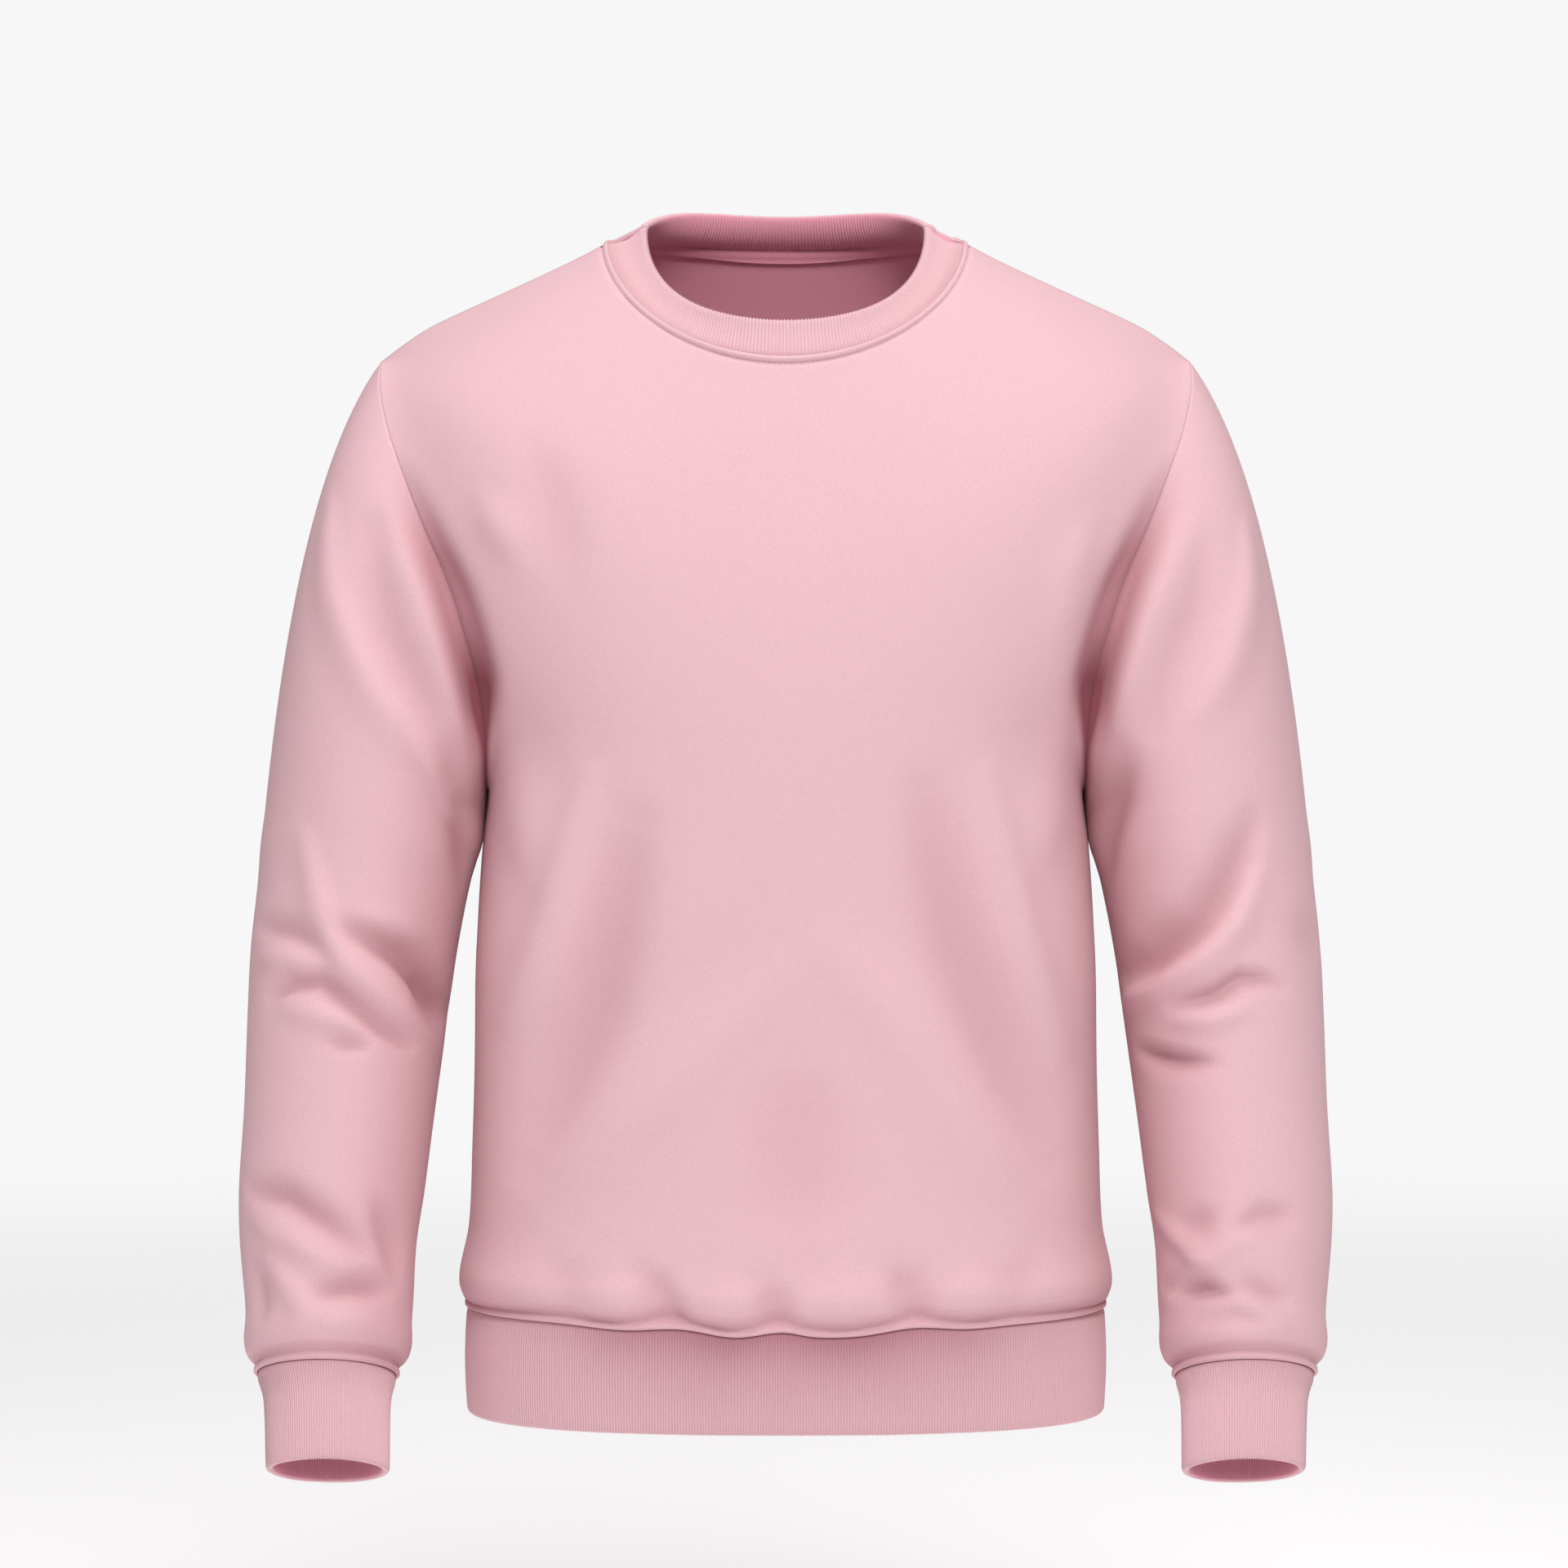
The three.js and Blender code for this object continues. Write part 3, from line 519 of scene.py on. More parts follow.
SIDE = Table(
    "z",
    z=[-613, -598, -566, -520, -475, -428, -395, -348, -318],
    x=[182.2, 187.2, 181.5, 179.6, 178.4, 178, 177.2, 174.2, 171],
)
DEPTH = Table(
    "z",
    z=[-613, -595, -540, -450, -370, -290, -210, -150, -110, -77, -30, 4],
    front=[117, 122, 119, 117, 119, 121, 117, 107, 97, 87, 80, 76],
    back=[114, 119, 114, 109, 109, 114, 118, 117, 114, 109, 94, 76],
    square=[2.5, 2.5, 2.5, 2.45, 2.4, 2.35, 2.3, 2.25, 2.15, 2, 2, 2],
)
ARMHOLE = Table(
    "z",
    z=[-318, -290, -263, -230, -200, -170, -145, -115, -90, -71.5],
    x=[171, 169.5, 172.5, 181, 190.5, 203.5, 213.5, 224.5, 230.5, 232],
)
SHOULDER = Table(
    "x",
    x=[102, 118, 142, 167, 190, 206, 221, 232],
    z=[-3, -11.5, -23, -34.5, -45, -53, -63, -71.5],
)
SLEEVE = Table(
    "z",
    z=[-645, -637, -628, -608, -573, -545, -500, -446, -409, -371, -350, -330],
    x=[256.3, 256.3, 256.2, 256.3, 258, 257, 253.8, 250.2, 247.4, 242.1, 238.8, 236.3],
    y=[-73, -70, -67, -60, -48.5, -39, -27, -15, -7, -2, 0, 1],
    across=[39, 43, 44.8, 46.8, 49.6, 52.2, 54, 57, 58.9, 60.8, 62.8, 62.8],
    deep=[38.5, 42, 45.5, 49, 52.5, 55.5, 59.5, 64.5, 68, 70, 72, 73.5],
    lean=[21, 21, 20.5, 19.5, 17, 14.5, 12.5, 9.5, 6, 3, 1.5, 0],
)
CUFF = Table(
    "f",
    f=[0, 0.1, 0.28, 1],
    size=[1, 0.955, 0.895, 0.865],
    shift=[0, 0.3, 0.9, 2.6],
)
HEM_WAVE = Table(
    "x",
    x=[-172, -126, -90, -58, -28, -2, 17, 40, 71, 100, 130, 172],
    front=[0, -0.4, -2.7, -1.6, -5.8, -3, -5.6, -5.2, -1, -2.4, -1.2, -0.4],
    back=[0, -1.6, -3.4, -4.6, -2.2, -1.8, -4.2, -5, -2.4, -1.6, -1.8, 0],
)
HEM_WAVE_REACH = 45.0

# Folds by place across and height on the panels, in millimetres.
FRONT_FOLDS = (
    Fold(((-84, -340), (-97, -390), (-108, -440), (-124, -485), (-140, -522)), 21, -9.5),
    Fold(((-109, -312), (-120, -350), (-129, -388), (-142, -420), (-155, -446)), 12, 6.3),
    Fold(((78, -322), (88, -365), (99, -405), (113, -445), (128, -482), (146, -520)), 21, -9.5),
    Fold(((111, -312), (121, -355), (131, -398), (143, -432), (155, -462)), 12, 6.3),
    Fold(((-154, -290), (-146, -330), (-142, -365)), 14, 4.5),
    Fold(((152, -285), (146, -330), (142, -360)), 14, 4.5),
    Fold(((-6, -424), (-34, -452), (-62, -478), (-96, -506), (-132, -546)), 22, 6),
    Fold(((28, -408), (56, -440), (76, -468), (98, -502), (130, -545)), 22, 6),
    Fold(((4, -470), (8, -565)), 30, -4.7),
    Fold(((-168, -158), (-158, -174), (-149, -190)), 11, 3.6),
    Fold(((168, -172), (158, -200), (152, -232)), 11, 3.4),
    Fold(((-140, -128), (-128, -165), (-120, -200)), 16, -3.4),
    Fold(((-77, -583), (-68, -597), (-57, -612)), 11, -7.2, 0.2),
    Fold(((-11, -589), (-6, -601), (-3, -614)), 10, -6.6),
    Fold(((60, -582), (67, -596), (77, -611)), 11, -7.2, -0.2),
    Fold(((-97, -586), (-94, -606)), 13, 3.0),
    Fold(((-36, -588), (-31, -609)), 12, 3.6),
    Fold(((31, -586), (35, -607)), 13, 3.6),
    Fold(((106, -584), (103, -605)), 13, 2.8),
    Fold(((-128, -580), (-116, -602)), 12, -2.6),
    Fold(((136, -578), (126, -602)), 12, -2.4),
)
BACK_FOLDS = (
    Fold(((-120, -330), (-140, -400), (-152, -470)), 17, 6.2, 0.3),
    Fold(((-96, -370), (-116, -460), (-132, -540)), 20, -7.9),
    Fold(((88, -350), (112, -440), (128, -520)), 20, -7.9),
    Fold(((124, -340), (146, -410), (160, -480)), 16, 6.2, -0.3),
    Fold(((-30, -440), (-60, -500), (-84, -560)), 23, 6.2),
    Fold(((44, -420), (70, -490), (92, -550)), 21, 6.2),
    Fold(((-40, -560), (0, -554), (36, -556)), 15, -5.8),
    Fold(((-128, -150), (-138, -200), (-140, -250)), 19, -6.2),
    Fold(((126, -140), (138, -200), (142, -255)), 19, -6.2),
    Fold(((-70, -586), (-64, -600)), 13, -5.2),
    Fold(((52, -588), (48, -600)), 12, -5.2),
    Fold(((-8, -592), (-8, -602)), 10, -3.7),
)

# Folds by angle round the sleeve and height; 90 degrees is the front.
LEFT_SLEEVE_FOLDS = (
    Fold(((172, -326), (180, -341), (188, -357)), 13, 1.3),
    Fold(((48, -434), (62, -427), (79, -426), (97, -437), (116, -451), (136, -462)), 7, -9.6, -0.3, 0.2),
    Fold(((88, -396), (102, -401), (122, -411), (140, -424), (158, -438), (175, -446)), 9, -11.5, -0.3, 0.3),
    Fold(((136, -430), (158, -444), (176, -450)), 13, -5.0),
    Fold(((96, -388), (115, -394), (136, -404)), 7, 3.4),
    Fold(((30, -396), (55, -398), (72, -403), (85, -415)), 7, -5.4, -0.2),
    Fold(((36, -413), (60, -414), (80, -421)), 7, 3.2),
    Fold(((60, -345), (75, -382), (90, -411), (105, -426), (121, -438), (158, -460)), 8, 5.6, 0.3),
    Fold(((60, -441), (90, -446), (116, -459)), 7, 4.2),
    Fold(((86, -458), (112, -461)), 6, -5.2, -0.3),
    Fold(((36, -543), (65, -545), (90, -556), (118, -572)), 8, -8.8, -0.3),
    Fold(((42, -560), (72, -567), (106, -584)), 8, 4.6),
    Fold(((84, -596), (110, -594), (140, -597)), 7, -7.6, -0.3),
    Fold(((54, -580), (80, -604), (70, -618)), 9, 4.2),
    Fold(((38, -584), (44, -612)), 10, -3.4),
    Fold(((88, -610), (126, -612)), 7, 3.2),
    Fold(((126, -548), (142, -572), (150, -590)), 9, -5.0),
    Fold(((42, -157), (60, -209), (83, -256), (106, -297)), 8, 4.4, 0.3),
    Fold(((84, -150), (90, -191), (114, -237), (133, -283), (153, -318)), 9, 6.6, 0.3),
    Fold(((66, -168), (88, -233), (115, -283), (133, -312)), 8, -6.2),
    Fold(((103, -191), (121, -223), (146, -268)), 9, -7.0),
    Fold(((99, -269), (117, -301), (140, -329), (166, -350)), 9, 5.0, -0.4),
    Fold(((126, -296), (146, -330), (162, -368)), 10, -6.0),
    Fold(((200, -380), (250, -392), (300, -398)), 12, -8.0),
    Fold(((230, -440), (280, -436), (330, -424)), 12, -8.0),
    Fold(((215, -408), (270, -418), (320, -412)), 11, 5.0),
    Fold(((210, -560), (255, -552), (300, -548)), 10, -6.5),
    Fold(((230, -592), (290, -598)), 9, -5.4),
    Fold(((290, -180), (275, -250), (262, -310)), 14, -6.0),
    Fold(((268, -170), (250, -240), (232, -300)), 11, 4.6),
)
RIGHT_SLEEVE_FOLDS = (
    Fold(((172, -326), (180, -341), (188, -357)), 13, 1.3),
    Fold(((62, -427), (72, -423), (86, -422), (101, -431), (125, -438)), 6, -8.4, 0.3),
    Fold(((72, -366), (86, -392), (109, -415), (135, -430), (168, -438)), 8, 7.4, 0.3, 0.4),
    Fold(((66, -338), (84, -372), (106, -396), (138, -416), (165, -424)), 11, -10.5, -0.3, 0.4),
    Fold(((160, -464), (132, -468), (106, -469)), 6, -7.6, -0.3),
    Fold(((128, -447), (104, -446), (84, -440)), 7, 4.2),
    Fold(((66, -600), (92, -595), (125, -593), (160, -597)), 7, -7.6, -0.3),
    Fold(((66, -616), (106, -590), (134, -572), (165, -558)), 7, 5.4),
    Fold(((88, -562), (122, -579), (160, -602)), 7, 4.6),
    Fold(((114, -554), (142, -566)), 8, -3.4),
    Fold(((62, -554), (84, -553), (100, -562)), 8, -5.4, 0.2),
    Fold(((74, -610), (104, -608), (130, -612)), 6, -4.2),
    Fold(((18, -406), (50, -396)), 13, -2.2),
    Fold(((75, -177), (101, -224), (123, -283)), 10, 6.4, 0.2),
    Fold(((68, -177), (81, -219), (96, -251), (111, -287)), 8, -5.6),
    Fold(((44, -170), (54, -205), (70, -246), (87, -278)), 8, 4.4, 0.3),
    Fold(((101, -191), (119, -223), (138, -264), (160, -312)), 9, -7.2),
    Fold(((126, -300), (146, -332), (164, -366)), 10, -6.0),
    Fold(((205, -370), (250, -388), (300, -400)), 12, -8.0),
    Fold(((225, -436), (275, -444), (325, -446)), 12, -8.0),
    Fold(((214, -404), (265, -416), (318, -424)), 11, 5.0),
    Fold(((200, -540), (245, -550), (290, -562)), 10, -6.5),
    Fold(((225, -596), (285, -590)), 9, -5.4),
    Fold(((285, -170), (272, -240), (258, -300)), 14, -6.0),
    Fold(((262, -165), (248, -235), (230, -300)), 11, 4.6),
)
# The sleeves' folds are laid on a tube of this radius; angles are degrees from the outer side.
SLEEVE_FOLD_RADIUS = 56.0

# Distances from an edge over which the folds come in.
EDGE_FADE = 26.0
HEM_FADE = (0.5, 8.5)
CUFF_FADE_START = 4.0

# Height of the fullness over the hem and cuff seams, and where it comes in from the side seams.
PANEL_BLOUSE = 2.4
PANEL_BLOUSE_FADE = (20.0, 100.0)
SLEEVE_BLOUSE = 2.0

# Painted shade on the body's lower sides and on the arms' inner sides, which face each other.
SIDE_SHADE = 0.27
SIDE_SHADE_REACH = (10.0, 95.0)
SIDE_SHADE_DEPTH = (225.0, 335.0)
INNER_ARM_SHADE = 0.4
INNER_ARM_TURN = (0.05, 0.95)

# Rows of points whose directions the topstitching takes.
NECK_STITCH_ROW = -8
HEM_STITCH_ROW = 5
CUFF_STITCH_ROW = -5

# Heights between which the panels' grid is eased.
EASE_FROM_Z = -430.0
EASE_FULL_Z = -300.0

# The sleeve's rings start below the cap. The cap leaves the armhole and arrives along these directions.
SLEEVE_TOP_Z = -330.0
SLEEVE_END_Z = -645.0
SLEEVE_FULLNESS = 0.8
LEAVE_TOP = np.array([0.6, 0, -0.8])
LEAVE_FRONT = np.array([0.8, -0.2, -0.55])
LEAVE_UNDER = np.array([0.45, 0, -0.89])
ARRIVE = np.array([0.1, 0, -1]) / math.hypot(0.1, 1)
UNDERARM_X = 171.0
ARMHOLE_OUT = unit(np.array([CUT.shoulder_z - CUT.underarm_z, 0, UNDERARM_X - CUT.shoulder_x]))


def armhole_points(turns: Array) -> Array:
    """Points of the armhole seam on the +X side.

    Args:
        turns: Angles from the shoulder point over the front to the underarm and back.

    Returns:
        One point for each angle.
    """
    middle = (CUT.shoulder_z + CUT.underarm_z) / 2
    reach = (CUT.shoulder_z - CUT.underarm_z) / 2
    z = middle + reach * np.cos(turns)
    bow = CUT.armhole_half_depth * np.sin(turns) * (1 - CUT.armhole_egg * np.cos(turns))
    return np.stack([ARMHOLE.at("x", z), -bow, z], axis=-1)


def armhole_normals(turns: Array) -> Array:
    """Directions out of the cloth at the armhole seam, square to it.

    Args:
        turns: Angles as for the seam's points.

    Returns:
        One unit direction for each angle.
    """
    small = 0.01
    along = armhole_points(turns + small) - armhole_points(turns - small)
    normals = unit(np.cross(along, ARMHOLE_OUT))
    middle = armhole_points(np.array([0, math.pi])).mean(axis=0)
    away = armhole_points(turns) - middle
    return np.where((normals * away).sum(axis=-1, keepdims=True) < 0, -normals, normals)


@dataclass
class ClothMesh:
    """Points and faces of one closed piece of cloth.

    Attributes:
        name: Name of the piece.
        points: Corners in millimetres.
        faces: Four corners to a face.
        flat: Place of each corner on the unrolled cloth, in millimetres.
        corners: Named values, one for each corner, that are kept on the mesh.
    """

    name: str
    points: Array
    faces: Array
    flat: Array
    corners: dict[str, Array]

    def build(self) -> bpy.types.Object:
        """Makes the Blender object.

        Returns:
            The linked object, at the origin.
        """
        mesh = bpy.data.meshes.new(self.name)
        mesh.from_pydata((self.points * MM).tolist(), [], self.faces.tolist())
        layer = mesh.uv_layers.new(name="Cloth")
        loops = np.empty(len(mesh.loops), dtype=np.int64)
        mesh.loops.foreach_get("vertex_index", loops)
        layer.data.foreach_set("uv", (self.flat[loops] * MM).ravel())
        for label, values in self.corners.items():
            attribute = mesh.attributes.new(label, "FLOAT", "POINT")
            attribute.data.foreach_set("value", values.astype(np.float32))
        mesh.shade_smooth()
        mesh.validate()
        mesh.update()
        piece = bpy.data.objects.new(self.name, mesh)
        bpy.context.scene.collection.objects.link(piece)
        return piece


def wall_faces(rows: int, columns: int, is_round: bool) -> Array:
    """Faces of a closed wall made of an outer grid and the inner grid behind it.

    Args:
        rows: Rows of each grid.
        columns: Columns of each grid.
        is_round: Whether the last column meets the first.

    Returns:
        Four corner numbers for each face.
    """
    reach = columns if is_round else columns - 1
    i, j = np.meshgrid(np.arange(rows - 1), np.arange(reach), indexing="ij")
    i, j = i.ravel(), j.ravel()
    k = (j + 1) % columns
    outer = np.stack([i * columns + j, i * columns + k, (i + 1) * columns + k, (i + 1) * columns + j], 1)
    inner = outer[:, ::-1] + rows * columns
    across = np.arange(reach)
    following = (across + 1) % columns
    shift = rows * columns
    top = (rows - 1) * columns
    rims = [
        np.stack([across + shift, following + shift, following, across], 1),
        np.stack([across + top, following + top, following + top + shift, across + top + shift], 1),
    ]
    if not is_round:
        up = np.arange(rows - 1) * columns
        last = up + columns - 1
        rims.append(np.stack([up, up + columns, up + columns + shift, up + shift], 1))
        rims.append(np.stack([last + shift, last + columns + shift, last + columns, last], 1))
    return np.vstack([outer, inner, *rims])


def faced_outwards(points: Array, faces: Array) -> Array:
    """Turns the faces so that the closed shape they make has its outside out.

    Args:
        points: The corners.
        faces: Four corners to a face.

    Returns:
        The same faces, all reversed where they faced inwards.
    """
    corners = points[faces]
    first = np.cross(corners[:, 1] - corners[:, 0], corners[:, 2] - corners[:, 0])
    second = np.cross(corners[:, 2] - corners[:, 0], corners[:, 3] - corners[:, 0])
    volume = (corners[:, 0] * (first + second)).sum()
    return faces[:, ::-1] if volume < 0 else faces


def wall_mesh(
    name: str, outer: Array, normals: Array, thickness: float, flat: Array, is_round: bool, crease: Array
) -> ClothMesh:
    """A closed wall of even thickness behind a grid of outer points.

    Args:
        name: Name of the piece.
        outer: Outer points, rows by columns.
        normals: Directions out of the cloth.
        thickness: Thickness of the cloth.
        flat: Places on the unrolled cloth.
        is_round: Whether the last column meets the first.
        crease: How much painted shade each outer point takes, as a share of a deep crease's, above 1 where
            two pieces press together.

    Returns:
        The wall.
    """
    inner = outer - thickness * normals
    points = np.vstack([outer.reshape(-1, 3), inner.reshape(-1, 3)])
    faces = faced_outwards(points, wall_faces(outer.shape[0], outer.shape[1], is_round))
    places = np.vstack([flat.reshape(-1, 2), flat.reshape(-1, 2)])
    inside = np.repeat([0.0, 1.0], len(points) // 2)
    # The painted shade goes on the outer side only; the inner side takes none.
    sunk = np.concatenate([crease.ravel(), np.zeros(crease.size)])
    return ClothMesh(name, points, faces, places, {"inside": inside, "crease": sunk})


@dataclass(frozen=True)
class Spacing:
    """Distances between the rows or columns of a grid.

    Attributes:
        step: Usual distance.
        fine: Distance beside a seam.
        reach: How far from a seam that distance holds.
    """

    step: float
    fine: float
    reach: float

    def places(self, length: float, at_start: bool, at_end: bool) -> Array:
        """Places along a length, closer together beside a seam.

        Args:
            length: The whole length.
            at_start: Whether the start is a seam with close places.
            at_end: Whether the end is one.

        Returns:
            Rising places from 0 to the length.
        """
        low = self.reach if at_start else 0.0
        high = length - self.reach if at_end else length
        middle = np.linspace(low, high, max(2, round((high - low) / self.step) + 1))
        close = np.arange(round(self.reach / self.fine)) * self.fine
        parts = [middle]
        if at_start:
            parts.insert(0, close)
        if at_end:
            parts.append(length - close[::-1])
        return np.concatenate(parts)


# Columns are shares of a half panel, the panel's rows its own row numbers, the sleeve's millimetres.
COLUMN_SPACING = Spacing(0.0165, 0.0042, 0.034)
SIDE_ROW_SPACING = Spacing(0.13, 0.03, 0.24)
SHOULDER_ROW_SPACING = Spacing(0.15, 0.05, 0.5)
SLEEVE_SPACING = Spacing(3.1, 0.8, 16)
ARMHOLE_FINE_ROWS = 79

# How the rows of a panel rise from the edge to the centre line, below and beside the neck.
PATH_POINTS = 241
RISE_BELOW = 2
RISE_AT_NECK = {Part.FRONT: 1.15, Part.BACK: 0.6}

# Rows over which the armhole's valley fades out, at the armpit and at the shoulder point.
ARMPIT_FADE = 0.5
SHOULDER_FADE = 1.0


@dataclass
class Panel:
    """The front or the back of the body.

    Attributes:
        part: Which of the two it is.
        folds: Its folds, by place across and height.
        flat_size: Width and length of the cut piece, in metres; not used.
        flat_area: Area of the cut piece, in square metres; not used.
        side_rows: Rows from the hem seam to the armpit.
        armhole_rows: Rows from the armpit to the shoulder point.
        shoulder_rows: Rows from the shoulder point to the neck.
        fineness: Rows of the control grid for each of those.
        half_columns: Columns from the centre line to the edge.
        ease_passes: Passes that ease the grid smooth.
        outer: The finished outer points, once built.
        normals: Directions out of the cloth there, once built.
    """

    part: Part
    folds: tuple[Fold, ...]
    flat_size: tuple[float, float]
    flat_area: float
    side_rows: int = 12
    armhole_rows: int = 10
    shoulder_rows: int = 5
    fineness: int = 4
    half_columns: int = 40
    ease_passes: int = 112
    outer: Array = field(init=False)
    normals: Array = field(init=False)

    @property
    def name(self) -> str:
        """Name of the panel's node."""
        return "front" if self.part is Part.FRONT else "back"

    @property
    def row_count(self) -> int:
        """Rows from the hem seam to the neck seam."""
        return self.side_rows + self.armhole_rows + self.shoulder_rows

    def edge_points(self, rows: Array) -> tuple[Array, Array, Array]:
        """Where rows meet the side seam, the armhole or the shoulder seam, on the +X side.

        Args:
            rows: Places up the panel, from 0 at the hem seam.

        Returns:
            The points, the directions out of the cloth, and the armhole's share, 1 on it and 0 off it.
        """
        up = np.clip(rows / self.side_rows, 0, 1)
        z = CUT.hem_seam_z + (CUT.underarm_z - CUT.hem_seam_z) * up
        side = np.stack([SIDE.at("x", z), 0 * z, z], axis=1)
        f = np.clip((rows - self.side_rows) / self.armhole_rows, 0, 1)
        turns = math.pi * (1 - f if self.part is Part.FRONT else 1 + f)
        armhole = armhole_points(turns)
        g = np.clip((rows - self.side_rows - self.armhole_rows) / self.shoulder_rows, 0, 1)
        x = CUT.shoulder_x + (CUT.neck_half_width - CUT.shoulder_x) * g
        shoulder = np.stack([x, 0 * x, SHOULDER.at("z", x)], axis=1)
        on_side = (rows < self.side_rows)[:, None]
        on_shoulder = (rows > self.side_rows + self.armhole_rows)[:, None]
        points = np.where(on_side, side, np.where(on_shoulder, shoulder, armhole))
        along = unit(np.gradient(np.where(on_shoulder, shoulder, side), axis=0))
        seam = unit(np.stack([along[:, 2], 0 * along[:, 0], -along[:, 0]], axis=1))
        normals = np.where(on_side | on_shoulder, seam, armhole_normals(turns))
        share = 1.0 - (on_side | on_shoulder)[:, 0]
        return points, normals, share

    def centres(self, rows: Array) -> Array:
        """Heights of rows on the centre line.

        Args:
            rows: Places up the panel, from 0 at the hem seam.

        Returns:
            One height for each row.
        """
        is_front = self.part is Part.FRONT
        shoulder = CUT.centre_at_shoulder_front if is_front else CUT.centre_at_shoulder_back
        top = CUT.neck_front_z if is_front else CUT.neck_back_z
        marks = np.cumsum([0, self.side_rows, self.armhole_rows, self.shoulder_rows])
        return np.interp(rows, marks, [CUT.hem_seam_z, CUT.centre_at_underarm, shoulder, top])

    def control_grid(self) -> Array:
        """The right half of the plain panel as a regular grid, eased smooth over the chest.

        Returns:
            Points, rows by columns from the centre line to the edge.
        """
        rows = np.arange(self.row_count * self.fineness + 1) / self.fineness
        edges, _, _ = self.edge_points(rows)
        centres = self.centres(rows)
        neck = np.clip((rows - self.side_rows - self.armhole_rows) / self.shoulder_rows, 0, 1)
        depth = DEPTH.at(self.name, centres)
        square = DEPTH.at("square", centres)
        is_front = self.part is Part.FRONT
        rise = RISE_BELOW + (RISE_AT_NECK[self.part] - RISE_BELOW) * neck
        bump = 0 * neck if is_front else CUT.neck_back_rise * neck**3
        fraction = np.linspace(0, 1, PATH_POINTS)
        goals = np.linspace(0, 1, self.half_columns + 1)
        grid = np.empty((len(rows), self.half_columns + 1, 3))
        for i in range(len(rows)):
            full = edges[i, 0] / (1 - (abs(edges[i, 1]) / depth[i]) ** square[i]) ** (1 / square[i])
            last = math.asin(min((edges[i, 0] / full) ** (square[i] / 2), 1))
            angle = fraction * last
            lift = np.clip(np.cos(fraction * math.pi / 2), 0, 1) ** rise[i]
            path = np.stack([
                full * np.sin(angle) ** (2 / square[i]),
                self.part.value * depth[i] * np.clip(np.cos(angle), 0, 1) ** (2 / square[i]),
                edges[i, 2] + (centres[i] - edges[i, 2]) * lift + bump[i] * np.sin(fraction * math.pi) ** 2,
            ], axis=1)
            run = run_lengths(path, 0)
            grid[i] = np.stack([np.interp(goals * run[-1], run, path[:, k]) for k in range(3)], axis=1)
            grid[i, -1] = edges[i]
        return self.eased(grid)

    def eased(self, half: Array) -> Array:
        """Averages the upper inner points with their neighbours, pass by pass.

        Args:
            half: The right half of the grid.

        Returns:
            The same half, eased.
        """
        mirrored = half[:, :0:-1] * np.array([-1, 1, 1])
        grid = np.concatenate([mirrored, half], axis=1)
        for _ in range(self.ease_passes):
            inner = grid[1:-1, 1:-1]
            mean = (grid[1:-1, :-2] + grid[1:-1, 2:] + grid[:-2, 1:-1] + grid[2:, 1:-1]) / 4
            share = 0.5 * smooth_step(inner[..., 2:], EASE_FROM_Z, EASE_FULL_Z)
            grid[1:-1, 1:-1] = inner + share * (mean - inner)
        return grid[:, half.shape[1] - 1:]

    def build(self) -> ClothMesh:
        """Works out the panel's outer surface and makes its wall.

        Returns:
            The panel's mesh.
        """
        rows = self.fine_rows()
        columns = COLUMN_SPACING.places(1.0, False, True) * self.half_columns
        half = sample_rows(self.control_grid(), rows * self.fineness)
        half = sample_rows(half.transpose(1, 0, 2), columns).transpose(1, 0, 2)
        edges, edge_normals, on_armhole = self.edge_points(rows)
        half[:, -1] = edges
        mirrored = half[:, :0:-1] * np.array([-1, 1, 1])
        plain = np.concatenate([mirrored, half], axis=1)
        reach = (plain[..., 2] - plain[:1, :, 2]) / HEM_WAVE_REACH
        plain[..., 2] += HEM_WAVE.at(self.name, plain[..., 0]) * (1 - smooth_step(reach, 0, 1))
        facing = np.array([0, self.part.value, 0])
        normals = grid_normals(plain, False, facing)
        run = run_lengths(plain, 1)
        to_side = np.minimum(run, run[:, -1:] - run)
        height_run = run_lengths(plain, 0)
        to_neck = height_run[-1:] - height_run
        heights = sum(fold.raise_at(plain[..., 0], plain[..., 2]) for fold in self.folds)
        heights = heights * smooth_step(np.minimum(to_side, to_neck), 0, EDGE_FADE)
        heights = heights * smooth_step(height_run, *HEM_FADE)
        soft = heights.copy()
        heights += CLOTH.seam_relief(to_side, False)
        heights += CLOTH.seam_relief(to_neck, True) + CLOTH.seam_relief(height_run, True)
        heights += CLOTH.blouse(height_run, PANEL_BLOUSE) * smooth_step(to_side, *PANEL_BLOUSE_FADE)
        heights[:, [0, -1]] = 0
        sunk = CLOTH.valley(to_side, edges[:, 2:]) * self.armhole_share(rows)
        for column, side in ((0, -1), (-1, 1)):
            normals[:, column] = edge_normals * np.array([side, 1, 1])
        outer = plain + (heights + sunk)[..., None] * normals
        normals = grid_normals(outer, False, facing)
        for column, side in ((0, -1), (-1, 1)):
            mirror = np.array([side, 1, 1])
            normals[:, column] = edge_normals * mirror
            shift = on_armhole[:, None] * ARMHOLE_OUT * mirror * CLOTH.seam_gap / 2
            outer[:, column] -= shift
            on_seam_plane = np.abs(edges[:, 1]) < 0.001
            outer[on_seam_plane, column, 1] = self.part.value * CLOTH.seam_gap / 2
        outer[0, :, 2] += CLOTH.seam_gap / 2
        self.outer, self.normals = outer, normals
        centre = run[:, plain.shape[1] // 2][:, None]
        flat = np.stack([run - centre, height_run], axis=-1)
